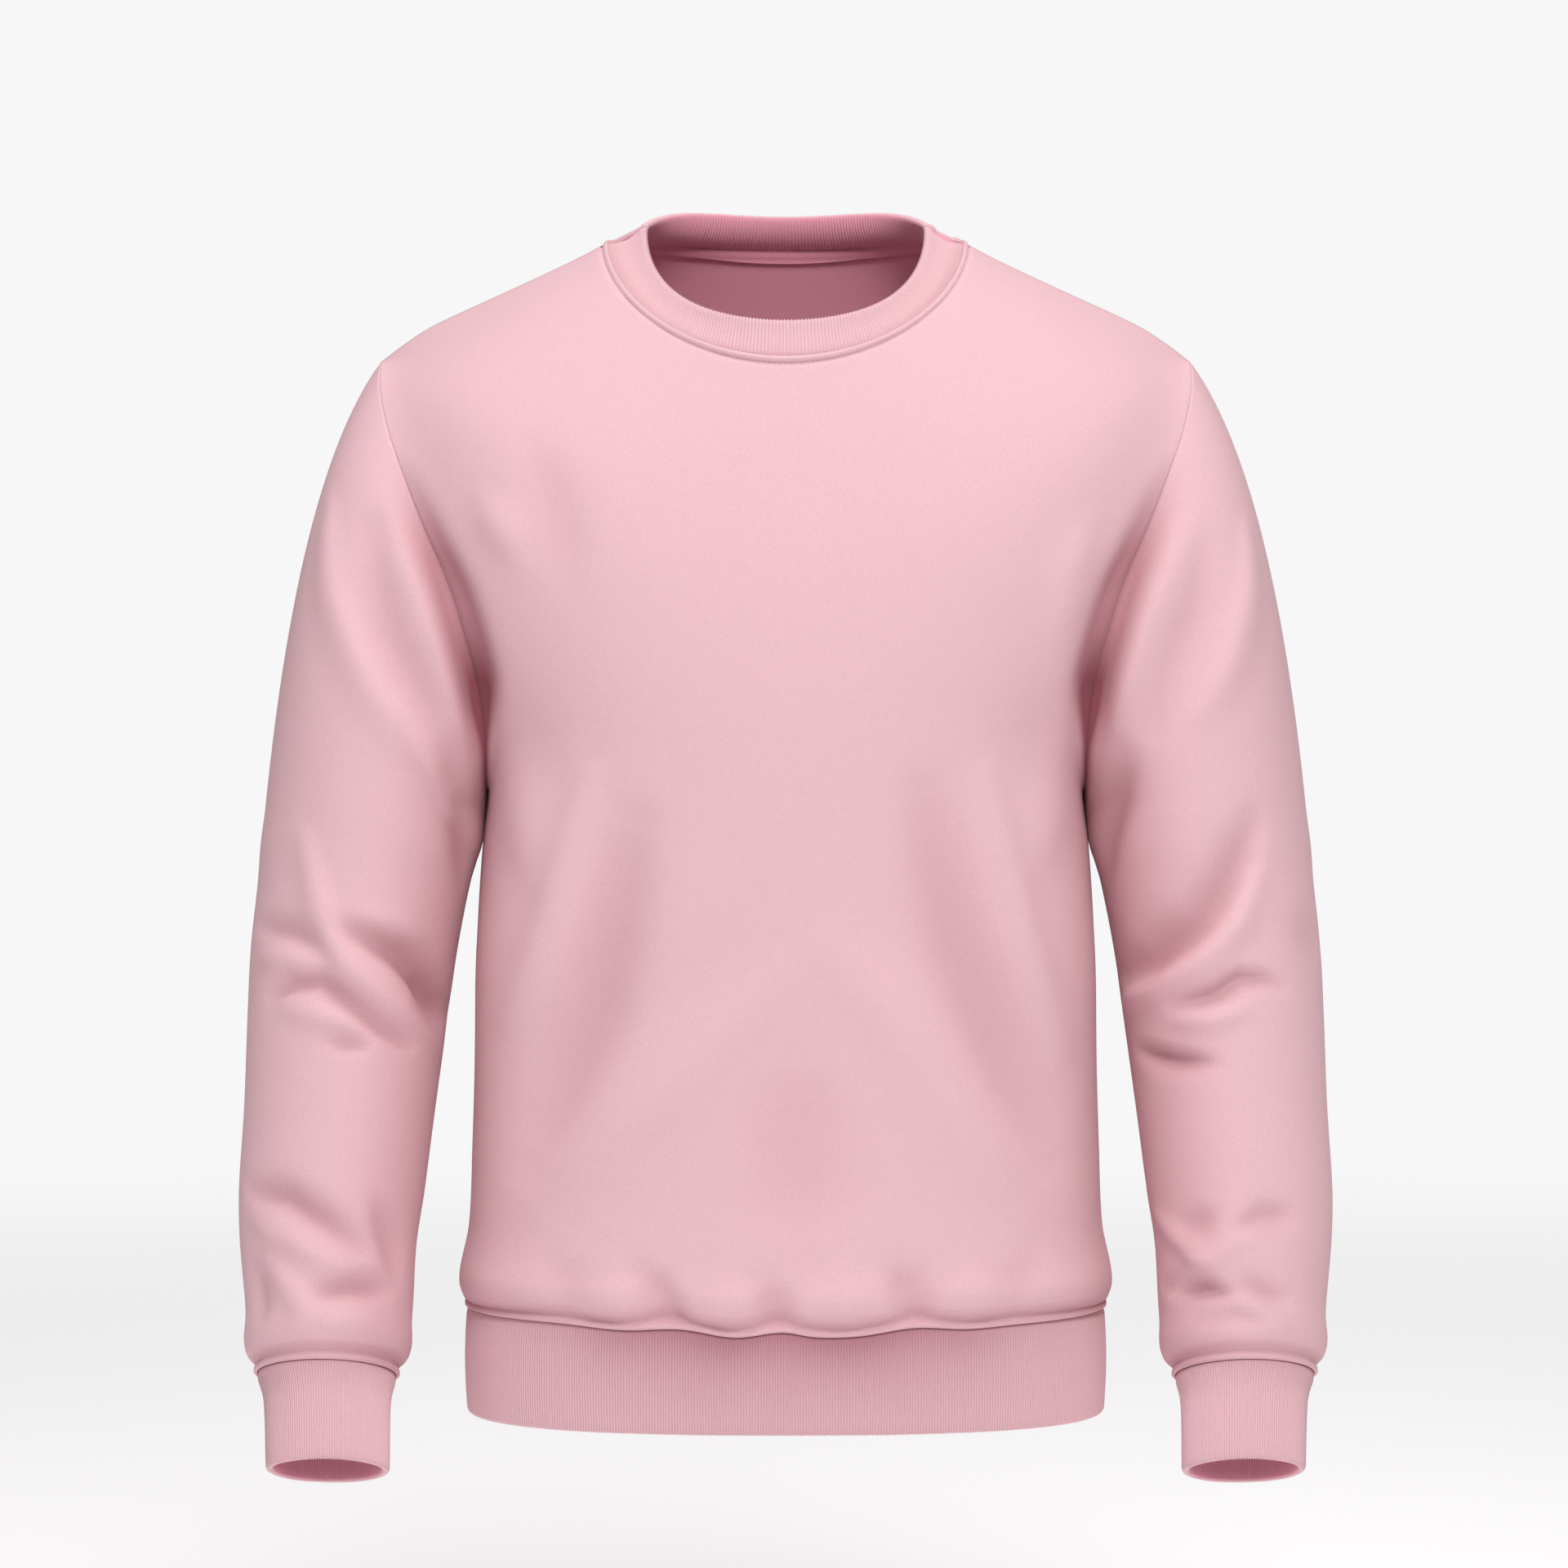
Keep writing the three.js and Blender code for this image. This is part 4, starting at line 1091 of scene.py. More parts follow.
        # Painted shade: darker on the lower sides, in the folds and the armhole valley, at the armpit and
        # under the fullness over the hem.
        low = smooth_step(-plain[..., 2], *SIDE_SHADE_DEPTH)
        turned = SIDE_SHADE * (1 - smooth_step(to_side, *SIDE_SHADE_REACH)) * low
        painted_pit_shade = CLOTH.armpit_shade(to_side, edges[:, 2:])
        crease = PANEL_SHADING.crease(soft, sunk, turned, height_run, painted_pit_shade)
        return wall_mesh(f"{self.name}_panel", outer, normals, CLOTH.fleece, flat, False, crease)

    def armhole_share(self, rows: Array) -> Array:
        """How much each row belongs to the armhole, fading out at the armpit.

        Args:
            rows: Places up the panel, from 0 at the hem seam.

        Returns:
            Shares from 0 to 1, as a column.
        """
        from_armpit = (rows - self.side_rows)[:, None]
        to_shoulder = self.armhole_rows - from_armpit
        return smooth_step(from_armpit, 0.0, ARMPIT_FADE) * smooth_step(to_shoulder, 0.0, SHOULDER_FADE)

    def fine_rows(self) -> Array:
        """Places of the fine rows, close together beside the hem seam and the neck seam.

        Returns:
            Places up the panel, from 0 at the hem seam.
        """
        side = SIDE_ROW_SPACING.places(self.side_rows, True, False)
        armhole = np.linspace(0, self.armhole_rows, ARMHOLE_FINE_ROWS)[1:] + self.side_rows
        start = self.side_rows + self.armhole_rows
        shoulder = SHOULDER_ROW_SPACING.places(self.shoulder_rows, False, True)[1:] + start
        return np.concatenate([side, armhole, shoulder])

    def declare(self, piece: bpy.types.Object) -> None:
        """Ties the finished panel to the frame and hides the frame's part of the same name.

        Args:
            piece: The finished object.
        """
        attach(piece, "root")
        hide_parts(self.name)


@dataclass
class Sleeve:
    """A set-in sleeve, from the armhole seam to the cuff seam.

    Attributes:
        arm: Which sleeve it is.
        folds: Its folds, by angle round the sleeve in degrees and by height.
        columns: Points round each ring.
        cap_rows: Rings from the armhole seam to the upper arm.
        flat_size: Width and length of the cut piece, in metres; not used.
        flat_area: Area of the cut piece, in square metres; not used.
        outer: The finished outer points, once built.
        normals: Directions out of the cloth there, once built.
    """

    arm: Arm
    folds: tuple[Fold, ...]
    columns: int = 112
    cap_rows: int = 84
    flat_size: tuple[float, float] = (0.46, 0.58)
    flat_area: float = 0.2
    outer: Array = field(init=False)
    normals: Array = field(init=False)

    @property
    def name(self) -> str:
        """Name of the sleeve's node."""
        return f"sleeve_{self.arm.name.lower()}"

    @staticmethod
    def ring(z: float) -> tuple[Array, Array, Array, Array]:
        """Centre line and directions of the sleeve at a height, on the +X side.

        Args:
            z: Height of the ring's centre.

        Returns:
            The centre, the way down the arm, the half width vector out, and the half width vector
            to the front.
        """
        centre = np.array([SLEEVE.at("x", z), SLEEVE.at("y", z), z])
        lean = math.radians(float(SLEEVE.at("lean", z)))
        along = np.array([0, -math.sin(lean), -math.cos(lean)])
        out = np.array([1.0, 0, 0]) * SLEEVE.at("across", z)
        front = np.array([0, -math.cos(lean), math.sin(lean)]) * SLEEVE.at("deep", z)
        return centre, along, out, front

    def plain_grid(self, turns: Array) -> Array:
        """The sleeve without folds, on the +X side.

        Args:
            turns: Angles round the sleeve.

        Returns:
            Points, rings by columns.
        """
        centre, _, out, front = self.ring(SLEEVE_TOP_Z)
        cosine, sine = np.cos(turns)[:, None], np.sin(turns)[:, None]
        end = centre + out * cosine + front * sine
        start = armhole_points(turns) + ARMHOLE_OUT * CLOTH.seam_gap / 2
        reach = SLEEVE_FULLNESS * np.linalg.norm(end - start, axis=1, keepdims=True)
        level = LEAVE_FRONT * np.concatenate([np.ones_like(sine), sine, np.ones_like(sine)], axis=1)
        target = np.where(cosine > 0, LEAVE_TOP, LEAVE_UNDER)
        leaving = unit(level + (target - level) * cosine**2)
        rings = []
        for f in np.arange(self.cap_rows) / self.cap_rows:
            start_share = 2 * f**3 - 3 * f**2 + 1
            rings.append(
                start * start_share + leaving * reach * (f**3 - 2 * f**2 + f)
                + end * (1 - start_share) + ARRIVE * reach * (f**3 - f**2)
            )
        heights = SLEEVE_TOP_Z - SLEEVE_SPACING.places(SLEEVE_TOP_Z - SLEEVE_END_Z, False, True)
        for z in heights:
            centre, _, out, front = self.ring(float(z))
            rings.append(centre + out * cosine + front * sine)
        return np.array(rings)

    def build(self) -> ClothMesh:
        """Works out the sleeve's outer surface and makes its wall.

        Returns:
            The sleeve's mesh.
        """
        turns = 2 * math.pi * np.arange(self.columns) / self.columns
        plain = self.plain_grid(turns)
        facing = np.array([1.0, 0, 0])
        normals = grid_normals(plain, True, facing)
        down = run_lengths(plain, 0)
        to_cuff = down[-1:] - down
        around = np.degrees(turns)[None, :] * np.ones(plain.shape[:2])
        reach = SLEEVE_FOLD_RADIUS * math.pi / 180
        heights = np.zeros(plain.shape[:2])
        for fold in self.folds:
            path = tuple((turn * reach, z) for turn, z in fold.path)
            unrolled = Fold(path, fold.width, fold.height, fold.lean)
            heights += unrolled.raise_at(around * reach, plain[..., 2])
        cuff_fade = smooth_step(to_cuff, CUFF_FADE_START, CUFF_FADE_START + EDGE_FADE)
        heights *= smooth_step(down, 0, EDGE_FADE) * cuff_fade
        soft = heights.copy()
        heights += CLOTH.seam_relief(down, False) + CLOTH.seam_relief(to_cuff, True)
        heights += CLOTH.blouse(to_cuff, SLEEVE_BLOUSE)
        normals[0] = armhole_normals(turns)
        heights[0] = 0
        seam_z = plain[:1, :, 2]
        sunk = CLOTH.valley(down, seam_z)
        heights += sunk + CLOTH.pressed(down, seam_z)
        outer = plain + heights[..., None] * normals
        normals = grid_normals(outer, True, facing)
        normals[0] = armhole_normals(turns)
        mirror = np.array([self.arm.value, 1, 1])
        self.outer, self.normals = outer * mirror, normals * mirror
        flat = np.stack([around * reach, -down], axis=-1)
        # Painted shade: darker on the arm's inner side, in the folds and the armhole valley, at the armpit
        # and under the fullness over the cuff.
        turned = INNER_ARM_SHADE * smooth_step(-np.cos(turns), *INNER_ARM_TURN)
        crease = SLEEVE_SHADING.crease(soft, sunk, turned, to_cuff, CLOTH.armpit_shade(down, seam_z))
        return wall_mesh(f"{self.name}_fleece", self.outer, self.normals, CLOTH.fleece, flat, True, crease)

    def declare(self, piece: bpy.types.Object) -> None:
        """Ties the finished sleeve to the frame and hides the frame's part of the same name.

        Args:
            piece: The finished object.
        """
        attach(piece, "root")
        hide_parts(self.name)


class NodeHelper:
    """Adds and joins the nodes of one tree."""

    def __init__(self, tree: bpy.types.NodeTree) -> None:
        """Takes a geometry tree or a material's tree to work on."""
        self.tree = tree

    def node(self, kind: str, **settings: object) -> bpy.types.Node:
        """Adds a node and sets its properties.

        Args:
            kind: The node's type.
            settings: Its properties by name.

        Returns:
            The new node.
        """
        node = self.tree.nodes.new(kind)
        for key, setting in settings.items():
            setattr(node, key, setting)
        return node

    def link(self, source: bpy.types.NodeSocket, target: bpy.types.NodeSocket) -> None:
        """Joins two sockets."""
        self.tree.links.new(source, target)

    def feed(self, target: bpy.types.NodeSocket, source: object) -> None:
        """Gives a socket its source.

        Args:
            target: The input to feed.
            source: Another node's output, or the input's own value.
        """
        if isinstance(source, bpy.types.NodeSocket):
            self.link(source, target)
        else:
            target.default_value = source

    def math(self, operation: str, first: object, second: object = 0.0) -> bpy.types.NodeSocket:
        """Adds a maths node.

        Args:
            operation: Name of the operation.
            first: A socket or a number.
            second: A socket or a number.

        Returns:
            The result's socket.
        """
        node = self.node("ShaderNodeMath", operation=operation)
        for socket, source in zip(node.inputs, (first, second)):
            self.feed(socket, source)
        return node.outputs[0]

    def noise(self, place: bpy.types.NodeSocket, scale: float, detail: float) -> bpy.types.NodeSocket:
        """Adds a noise texture.

        Args:
            place: The coordinates.
            scale: Its scale.
            detail: Its detail.

        Returns:
            The noise, about 0.5 on average.
        """
        node = self.node("ShaderNodeTexNoise")
        node.inputs["Scale"].default_value = scale
        node.inputs["Detail"].default_value = detail
        self.link(place, node.inputs["Vector"])
        return node.outputs["Fac"]

    def product(self, share: object, first: object, second: object) -> bpy.types.NodeSocket:
        """Adds a node that multiplies two colours.

        Args:
            share: How much of the product counts, a socket or a number.
            first: A socket or a colour.
            second: A socket or a colour.

        Returns:
            The resulting colour's socket.
        """
        node = self.node("ShaderNodeMix", data_type="RGBA", blend_type="MULTIPLY")
        self.feed(node.inputs["Factor"], share)
        self.feed(node.inputs[6], first)
        self.feed(node.inputs[7], second)
        return node.outputs[2]


class GeometryTree(NodeHelper):
    """A geometry tree with named inputs, which is run on a piece."""

    def __init__(self, name: str) -> None:
        """Starts an empty tree with a geometry input and output.

        Args:
            name: Name of the tree.
        """
        super().__init__(bpy.data.node_groups.new(name, "GeometryNodeTree"))
        self.tree.interface.new_socket("Geometry", in_out="INPUT", socket_type="NodeSocketGeometry")
        self.tree.interface.new_socket("Geometry", in_out="OUTPUT", socket_type="NodeSocketGeometry")
        self.tree.is_modifier = True
        self.start = self.tree.nodes.new("NodeGroupInput")
        self.end = self.tree.nodes.new("NodeGroupOutput")

    def value(self, name: str, kind: str = "NodeSocketFloat") -> None:
        """Adds a named input."""
        self.tree.interface.new_socket(name, in_out="INPUT", socket_type=kind)

    def close(self, geometry: bpy.types.NodeSocket) -> None:
        """Ends the tree: real geometry, dressed in the material of the input Material.

        Args:
            geometry: What the tree has made.
        """
        realized = self.node("GeometryNodeRealizeInstances")
        self.link(geometry, realized.inputs[0])
        dressed = self.node("GeometryNodeSetMaterial")
        self.link(realized.outputs[0], dressed.inputs["Geometry"])
        self.link(self.start.outputs["Material"], dressed.inputs["Material"])
        self.link(dressed.outputs[0], self.end.inputs[0])

    def apply(self, piece: bpy.types.Object, values: dict[str, object]) -> bpy.types.Object:
        """Runs the tree on a piece and keeps the result as a plain mesh.

        Args:
            piece: The object that gives the geometry; it is used up.
            values: The named inputs' values.

        Returns:
            A new object of the same name, with no modifier.
        """
        modifier = piece.modifiers.new("Made", "NODES")
        modifier.node_group = self.tree
        for item in self.tree.interface.items_tree:
            if item.item_type == "SOCKET" and item.in_out == "INPUT" and item.name in values:
                modifier[item.identifier] = values[item.name]
        graph = bpy.context.evaluated_depsgraph_get()
        graph.update()
        mesh = bpy.data.meshes.new_from_object(piece.evaluated_get(graph), depsgraph=graph)
        name = piece.name
        bpy.data.objects.remove(piece)
        mesh.name = name
        made = bpy.data.objects.new(name, mesh)
        bpy.context.scene.collection.objects.link(made)
        return made


def rib_tree() -> GeometryTree:
    """The tree that raises a rib knit out of a smooth band and keeps the painted shade between its ribs.

    Returns:
        A tree with the inputs Ribs, Height and Material; the band carries around and fade.
    """
    tree = GeometryTree("Rib Knit")
    tree.value("Ribs")
    tree.value("Height")
    tree.value("Material", "NodeSocketMaterial")
    around = tree.node("GeometryNodeInputNamedAttribute", data_type="FLOAT")
    around.inputs["Name"].default_value = "around"
    fade = tree.node("GeometryNodeInputNamedAttribute", data_type="FLOAT")
    fade.inputs["Name"].default_value = "fade"
    phase = tree.math("MULTIPLY", around.outputs["Attribute"], tree.start.outputs["Ribs"])
    wave = tree.math("COSINE", tree.math("MULTIPLY", phase, 2 * math.pi))
    crest = tree.math("MULTIPLY", tree.math("ADD", wave, 1.0), 0.5)
    height = tree.math("MULTIPLY", crest, tree.start.outputs["Height"])
    height = tree.math("MULTIPLY", height, fade.outputs["Attribute"])
    scaled = tree.node("ShaderNodeVectorMath", operation="SCALE")
    tree.link(tree.node("GeometryNodeInputNormal").outputs[0], scaled.inputs[0])
    tree.link(height, scaled.inputs["Scale"])
    moved = tree.node("GeometryNodeSetPosition")
    tree.link(tree.start.outputs["Geometry"], moved.inputs["Geometry"])
    tree.link(scaled.outputs[0], moved.inputs["Offset"])
    # Painted shade between the ribs: valley is 1 between two ribs and 0 on their crests.
    kept = tree.node("GeometryNodeStoreNamedAttribute", data_type="FLOAT", domain="POINT")
    kept.inputs["Name"].default_value = "valley"
    tree.link(moved.outputs[0], kept.inputs["Geometry"])
    tree.link(tree.math("SUBTRACT", 1.0, crest), kept.inputs["Value"])
    tree.close(kept.outputs[0])
    return tree


def stitch_tree() -> GeometryTree:
    """The tree that lays a row of stitches along a curve.

    Returns:
        A tree with the inputs Spacing, Length, Thread and Material.
    """
    tree = GeometryTree("Stitch Row")
    for name in ("Spacing", "Length", "Thread"):
        tree.value(name)
    tree.value("Material", "NodeSocketMaterial")
    points = tree.node("GeometryNodeCurveToPoints", mode="LENGTH")
    tree.link(tree.start.outputs["Geometry"], points.inputs["Curve"])
    tree.link(tree.start.outputs["Spacing"], points.inputs["Length"])
    bead = tree.node("GeometryNodeMeshUVSphere")
    bead.inputs["Segments"].default_value = 6
    bead.inputs["Rings"].default_value = 4
    bead.inputs["Radius"].default_value = 1.0
    size = tree.node("ShaderNodeCombineXYZ")
    tree.link(tree.start.outputs["Thread"], size.inputs["X"])
    tree.link(tree.start.outputs["Thread"], size.inputs["Y"])
    tree.link(tree.start.outputs["Length"], size.inputs["Z"])
    placed = tree.node("GeometryNodeInstanceOnPoints")
    tree.link(points.outputs["Points"], placed.inputs["Points"])
    tree.link(bead.outputs["Mesh"], placed.inputs["Instance"])
    tree.link(points.outputs["Rotation"], placed.inputs["Rotation"])
    tree.link(size.outputs[0], placed.inputs["Scale"])
    tree.close(placed.outputs[0])
    return tree


# Shares of a band's width: rows close to its seam, the first even row, a row just before the folded
# edge, and how far from the seam the ribs reach their height.
BAND_SEAM_STEPS = (0, 0.012, 0.03, 0.07)
BAND_FIRST_STEP = 0.14
BAND_LIP_BEFORE = 0.98
BAND_RIB_FADE = 0.06

# Rows round the folded edge: angle in degrees, share of the ribs' height, share of the inner side.
BAND_LIP_ROWS = ((45, 1.0, 0.0), (90, 1.0, 0.0), (135, 0.9, 0.4))


@dataclass
class Band:
    """A doubled rib-knit band round an edge of the garment.

    Attributes:
        name: Name of the band's node.
        rib_count: Ribs all round.
        width: Finished width in millimetres.
        flat_size: Length and width of the cut strip as it shows, in metres; not used.
        rib_height: Height of a rib in millimetres.
        seam_shade: How dark the painted shade makes the band along its seam.
        shade_reach: How far that painted shade reaches, in millimetres.
        seam_dip: How far the band sinks in at its seam, in millimetres.
        dip_reach: How far that reaches, as a share of the width.
        columns_a_rib: Points across one rib.
        rows: Steps of the outer face.
    """

    name: str
    rib_count: int
    width: float
    flat_size: tuple[float, float]
    rib_height: float = 0.8
    seam_shade: float = 0.4
    shade_reach: float = 6.0
    seam_dip: float = 0.5
    dip_reach: float = 0.02
    columns_a_rib: int = 4
    rows: int = 12

    def section(self, point: Array, normal: Array, f: float) -> tuple[Array, Array]:
        """Outer points and directions at a share of the band's width; each band gives its own."""
        raise NotImplementedError

    def shaded_share(self, base: Array) -> Array:
        """How strongly the painted shade along its seam darkens each point of the edge; the same all round.
        """
        return np.ones(len(base))

    def dip(self, f: float) -> float:
        """How far the band has sunk in at a share of its width."""
        return self.seam_dip * math.exp(-f / self.dip_reach)

    def build(
        self, edge: Array, normals: Array, tree: GeometryTree, finish: bpy.types.Material
    ) -> bpy.types.Object:
        """Makes the band on an edge's points.

        Args:
            edge: The closed edge that the band is sewn to.
            normals: Directions out of the cloth along it.
            tree: The tree that raises the ribs.
            finish: The band's material.

        Returns:
            The finished band.
        """
        columns = self.rib_count * self.columns_a_rib
        base, facing = even_ring(edge, columns, normals)
        facing = unit(facing)
        steps = np.concatenate([BAND_SEAM_STEPS, np.linspace(BAND_FIRST_STEP, 1, self.rows)])
        loop, fade, along, inside = [], [], [], []
        for f in steps:
            point, normal = self.section(base, facing, float(f))
            loop.append(point)
            fade.append(float(smooth_step(np.array(f), 0.0, BAND_RIB_FADE)))
            along.append(f * self.width)
            inside.append(0.0)
        lip_point, lip_normal = self.section(base, facing, 1.0)
        before, _ = self.section(base, facing, BAND_LIP_BEFORE)
        outward = unit(lip_point - before)
        radius = CLOTH.rib / 2
        for angle, rib_share, inner_share in BAND_LIP_ROWS:
            sine, cosine = math.sin(math.radians(angle)), math.cos(math.radians(angle))
            loop.append(lip_point + lip_normal * radius * (cosine - 1) + outward * radius * sine)
            fade.append(rib_share)
            along.append(self.width + radius * math.radians(angle))
            inside.append(inner_share)
        for f in steps[::-1]:
            point, normal = self.section(base, facing, float(f))
            loop.append(point - normal * CLOTH.rib)
            fade.append(float(smooth_step(np.array(f), 0.0, BAND_RIB_FADE)))
            along.append(self.width * (2 - f) + CLOTH.rib)
            inside.append(1.0)
        grid = np.array(loop)
        rows = len(grid)
        i, j = np.meshgrid(np.arange(rows), np.arange(columns), indexing="ij")
        i, j = i.ravel(), j.ravel()
        k, m = (j + 1) % columns, (i + 1) % rows
        faces = np.stack([i * columns + j, i * columns + k, m * columns + k, m * columns + j], axis=1)
        points = grid.reshape(-1, 3)
        around = np.tile(np.arange(columns) / columns, rows)
        length = np.linalg.norm(np.diff(base, axis=0), axis=1).sum()
        flat = np.stack([around * length, np.repeat(along, columns)], axis=1)
        # Painted shade along the seam, under the fullness that hangs over it, fading across the band.
        shaded = np.tile(self.shaded_share(base), rows)
        corners = {
            "around": around,
            "fade": np.repeat(fade, columns),
            "inside": np.repeat(inside, columns),
            "crease": self.seam_shade * np.exp(-np.repeat(along, columns) / self.shade_reach) * shaded,
        }
        piece = ClothMesh(f"{self.name}_rib", points, faced_outwards(points, faces), flat, corners).build()
        values = {"Ribs": float(self.rib_count), "Height": self.rib_height * MM, "Material": finish}
        return tree.apply(piece, values)

    def declare(self, piece: bpy.types.Object) -> None:
        """Ties the finished band to the frame and hides the frame's part of the same name.

        Args:
            piece: The finished object.
        """
        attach(piece, "root")
        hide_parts(self.name)


@dataclass
class HemBand(Band):
    """The waistband, straight down from the body's lower edge.

    Attributes:
        bulge: How far it bulges halfway down, in millimetres.
        seam_shade: How dark the painted shade makes it along its seam, in the middle.
        shade_reach: How far that shade reaches.
        middle_shade: Share of the painted shade in the middle, where the body hangs over.
        middle_loss: How much less that share is at the sides.
        middle_fade: Distances from the middle between which it falls.
    """

    bulge: float = 1.2
    seam_shade: float = 1.0
    shade_reach: float = 26.0
    middle_shade: float = 1.15
    middle_loss: float = 0.95
    middle_fade: tuple[float, float] = (45.0, 168.0)

    def section(self, point: Array, normal: Array, f: float) -> tuple[Array, Array]:
        """Outer points and directions at a share of the band's width.

        Args:
            point: Points of the edge that the band is sewn to.
            normal: Directions out of the cloth there.
            f: Share of the width.

        Returns:
            The band's outer points and the directions out of it.
        """
        sideways = unit(normal * np.array([1, 1, 0]))
        down = point.copy()
        top = point[:, 2] - CLOTH.seam_gap
        down[:, 2] = top + (CUT.hem_edge_z + CLOTH.rib / 2 - top) * f
        down += sideways * (self.bulge * math.sin(f * math.pi) - self.dip(f))
        return down, sideways

    def shaded_share(self, base: Array) -> Array:
        """How strongly the painted shade darkens each point of the edge, most in the middle."""
        return self.middle_shade - self.middle_loss * smooth_step(np.abs(base[:, 0]), *self.middle_fade)


@dataclass
class Collar(Band):
    """The neckband, which leans in towards the neck as it stands up.

    Attributes:
        lean: How far its upper edge leans in, at the front, the shoulders and the back.
        rise: How far it stands up there.
        dip_reach: How far the dip at the seam reaches, as a share of the width.
    """

    lean: tuple[float, float, float] = (7, 21, 10)
    rise: tuple[float, float, float] = (20.5, 10.5, 16)
    dip_reach: float = 0.05

    def section(self, point: Array, normal: Array, f: float) -> tuple[Array, Array]:
        """Outer points and directions at a share of the band's width.

        Args:
            point: Points of the edge that the band is sewn to.
            normal: Directions out of the cloth there.
            f: Share of the width.

        Returns:
            The band's outer points and the directions out of it.
        """
        neck_depth = float(DEPTH.at("front", CUT.neck_front_z))
        inward = unit(-point * np.array([1 / CUT.neck_half_width, 1 / neck_depth, 0]))
        is_front = point[:, 1:2] < 0
        share = np.minimum(np.abs(point[:, :1]) / CUT.neck_half_width, 1)
        flank = np.where(is_front, share**2, share**4)
        lean = np.where(is_front, self.lean[0], self.lean[2]) * (1 - flank) + self.lean[1] * flank
        rise = np.where(is_front, self.rise[0], self.rise[2]) * (1 - flank) + self.rise[1] * flank
        reach = inward * lean + np.array([0, 0, 1]) * rise
        start = unit(reach - normal * (reach * normal).sum(axis=1, keepdims=True))
        bend = start * self.width / 2
        trimmed = f * (1 - CLOTH.rib / 2 / self.width)
        path = start * CLOTH.seam_gap + bend * 2 * trimmed * (1 - trimmed) + reach * trimmed**2
        along = bend * (2 - 4 * trimmed) + reach * 2 * trimmed
        across = (normal * along).sum(1, keepdims=True)
        turned = unit(normal - along * across / (along**2).sum(1, keepdims=True))
        return point + path - turned * self.dip(f), turned


@dataclass
class Cuff(Band):
    """A cuff, which continues its sleeve's last ring along the arm.

    Attributes:
        arm: Whose cuff it is.
    """

    arm: Arm = Arm.LEFT

    def section(self, point: Array, normal: Array, f: float) -> tuple[Array, Array]:
        """Outer points and directions at a share of the band's width.

        Args:
            point: Points of the edge that the band is sewn to.
            normal: Directions out of the cloth there, which the cuff's own shape replaces.
            f: Share of the width.

        Returns:
            The band's outer points and the directions out of it.
        """
        centre, along, _, _ = Sleeve.ring(SLEEVE_END_Z)
        centre = centre * np.array([self.arm.value, 1, 1])
        radial = point - centre
        reach = CLOTH.seam_gap + f * (self.width - CLOTH.rib / 2)
        place = centre + radial * CUFF.at("size", f) + along * reach
        place[:, 0] -= self.arm.value * CUFF.at("shift", f)
        outward = unit(radial - along * (radial @ along)[:, None])
        return place - outward * self.dip(f), outward


@dataclass
class NeckTape:
    """The tape over the back neck seam, inside.

    Attributes:
        width: Width in millimetres.
        start: Distance of its upper edge from the neck seam.
        steps: Rows of points across its width.
        flat_size: Length and width of the cut strip, in metres; not used.
    """

    width: float = 10.5
    start: float = 0.8
    steps: int = 6
    flat_size: tuple[float, float] = (0.24, 0.0105)

    def build(self, back: Panel) -> ClothMesh:
        """Lays the tape on the inside of the back panel.

        Args:
            back: The finished back panel.

        Returns:
            The tape's mesh.
        """
        down = back.outer[::-1, 1:-1]
        normals = back.normals[::-1, 1:-1]
        rows, facing = [], []
        for f in np.linspace(0, 1, self.steps):
            distance = self.start + f * self.width
            rows.append(points_at_distance(down, distance))
            facing.append(normals[np.argmin(np.abs(run_lengths(down, 0).mean(axis=1) - distance))])
        grid, out = np.array(rows), unit(np.array(facing))
        offset = CLOTH.fleece + CLOTH.tape_clearance
        outer = grid - out * offset
        run = run_lengths(outer, 1)
        depth = np.repeat(np.linspace(0, self.width, self.steps)[:, None], run.shape[1], 1)
        flat = np.stack([run, depth], -1)
        return wall_mesh("neck_tape_knit", outer, out, CLOTH.tape, flat, False, np.zeros(run.shape))

    def declare(self, piece: bpy.types.Object) -> None:
        """Ties the finished tape to the frame and hides the frame's neck tape part.

        Args:
            piece: The finished object.
        """
        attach(piece, "root")
        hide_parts("neck_tape")


# How the knit's stitches, fibres, speckles and clouds add up. A noise has its scale and detail.
LOOP_LEVEL = 1.6
STITCH_SHARE = 0.3
FIBRE_SHARE = 0.9
FIBRE_NOISE = (2600, 2)
SPECKLE_NOISE = (900, 3)
SPECKLE_GAIN = 2.4
CLOUD_NOISE = (9, 2)
CLOUD_SHARE = 0.05


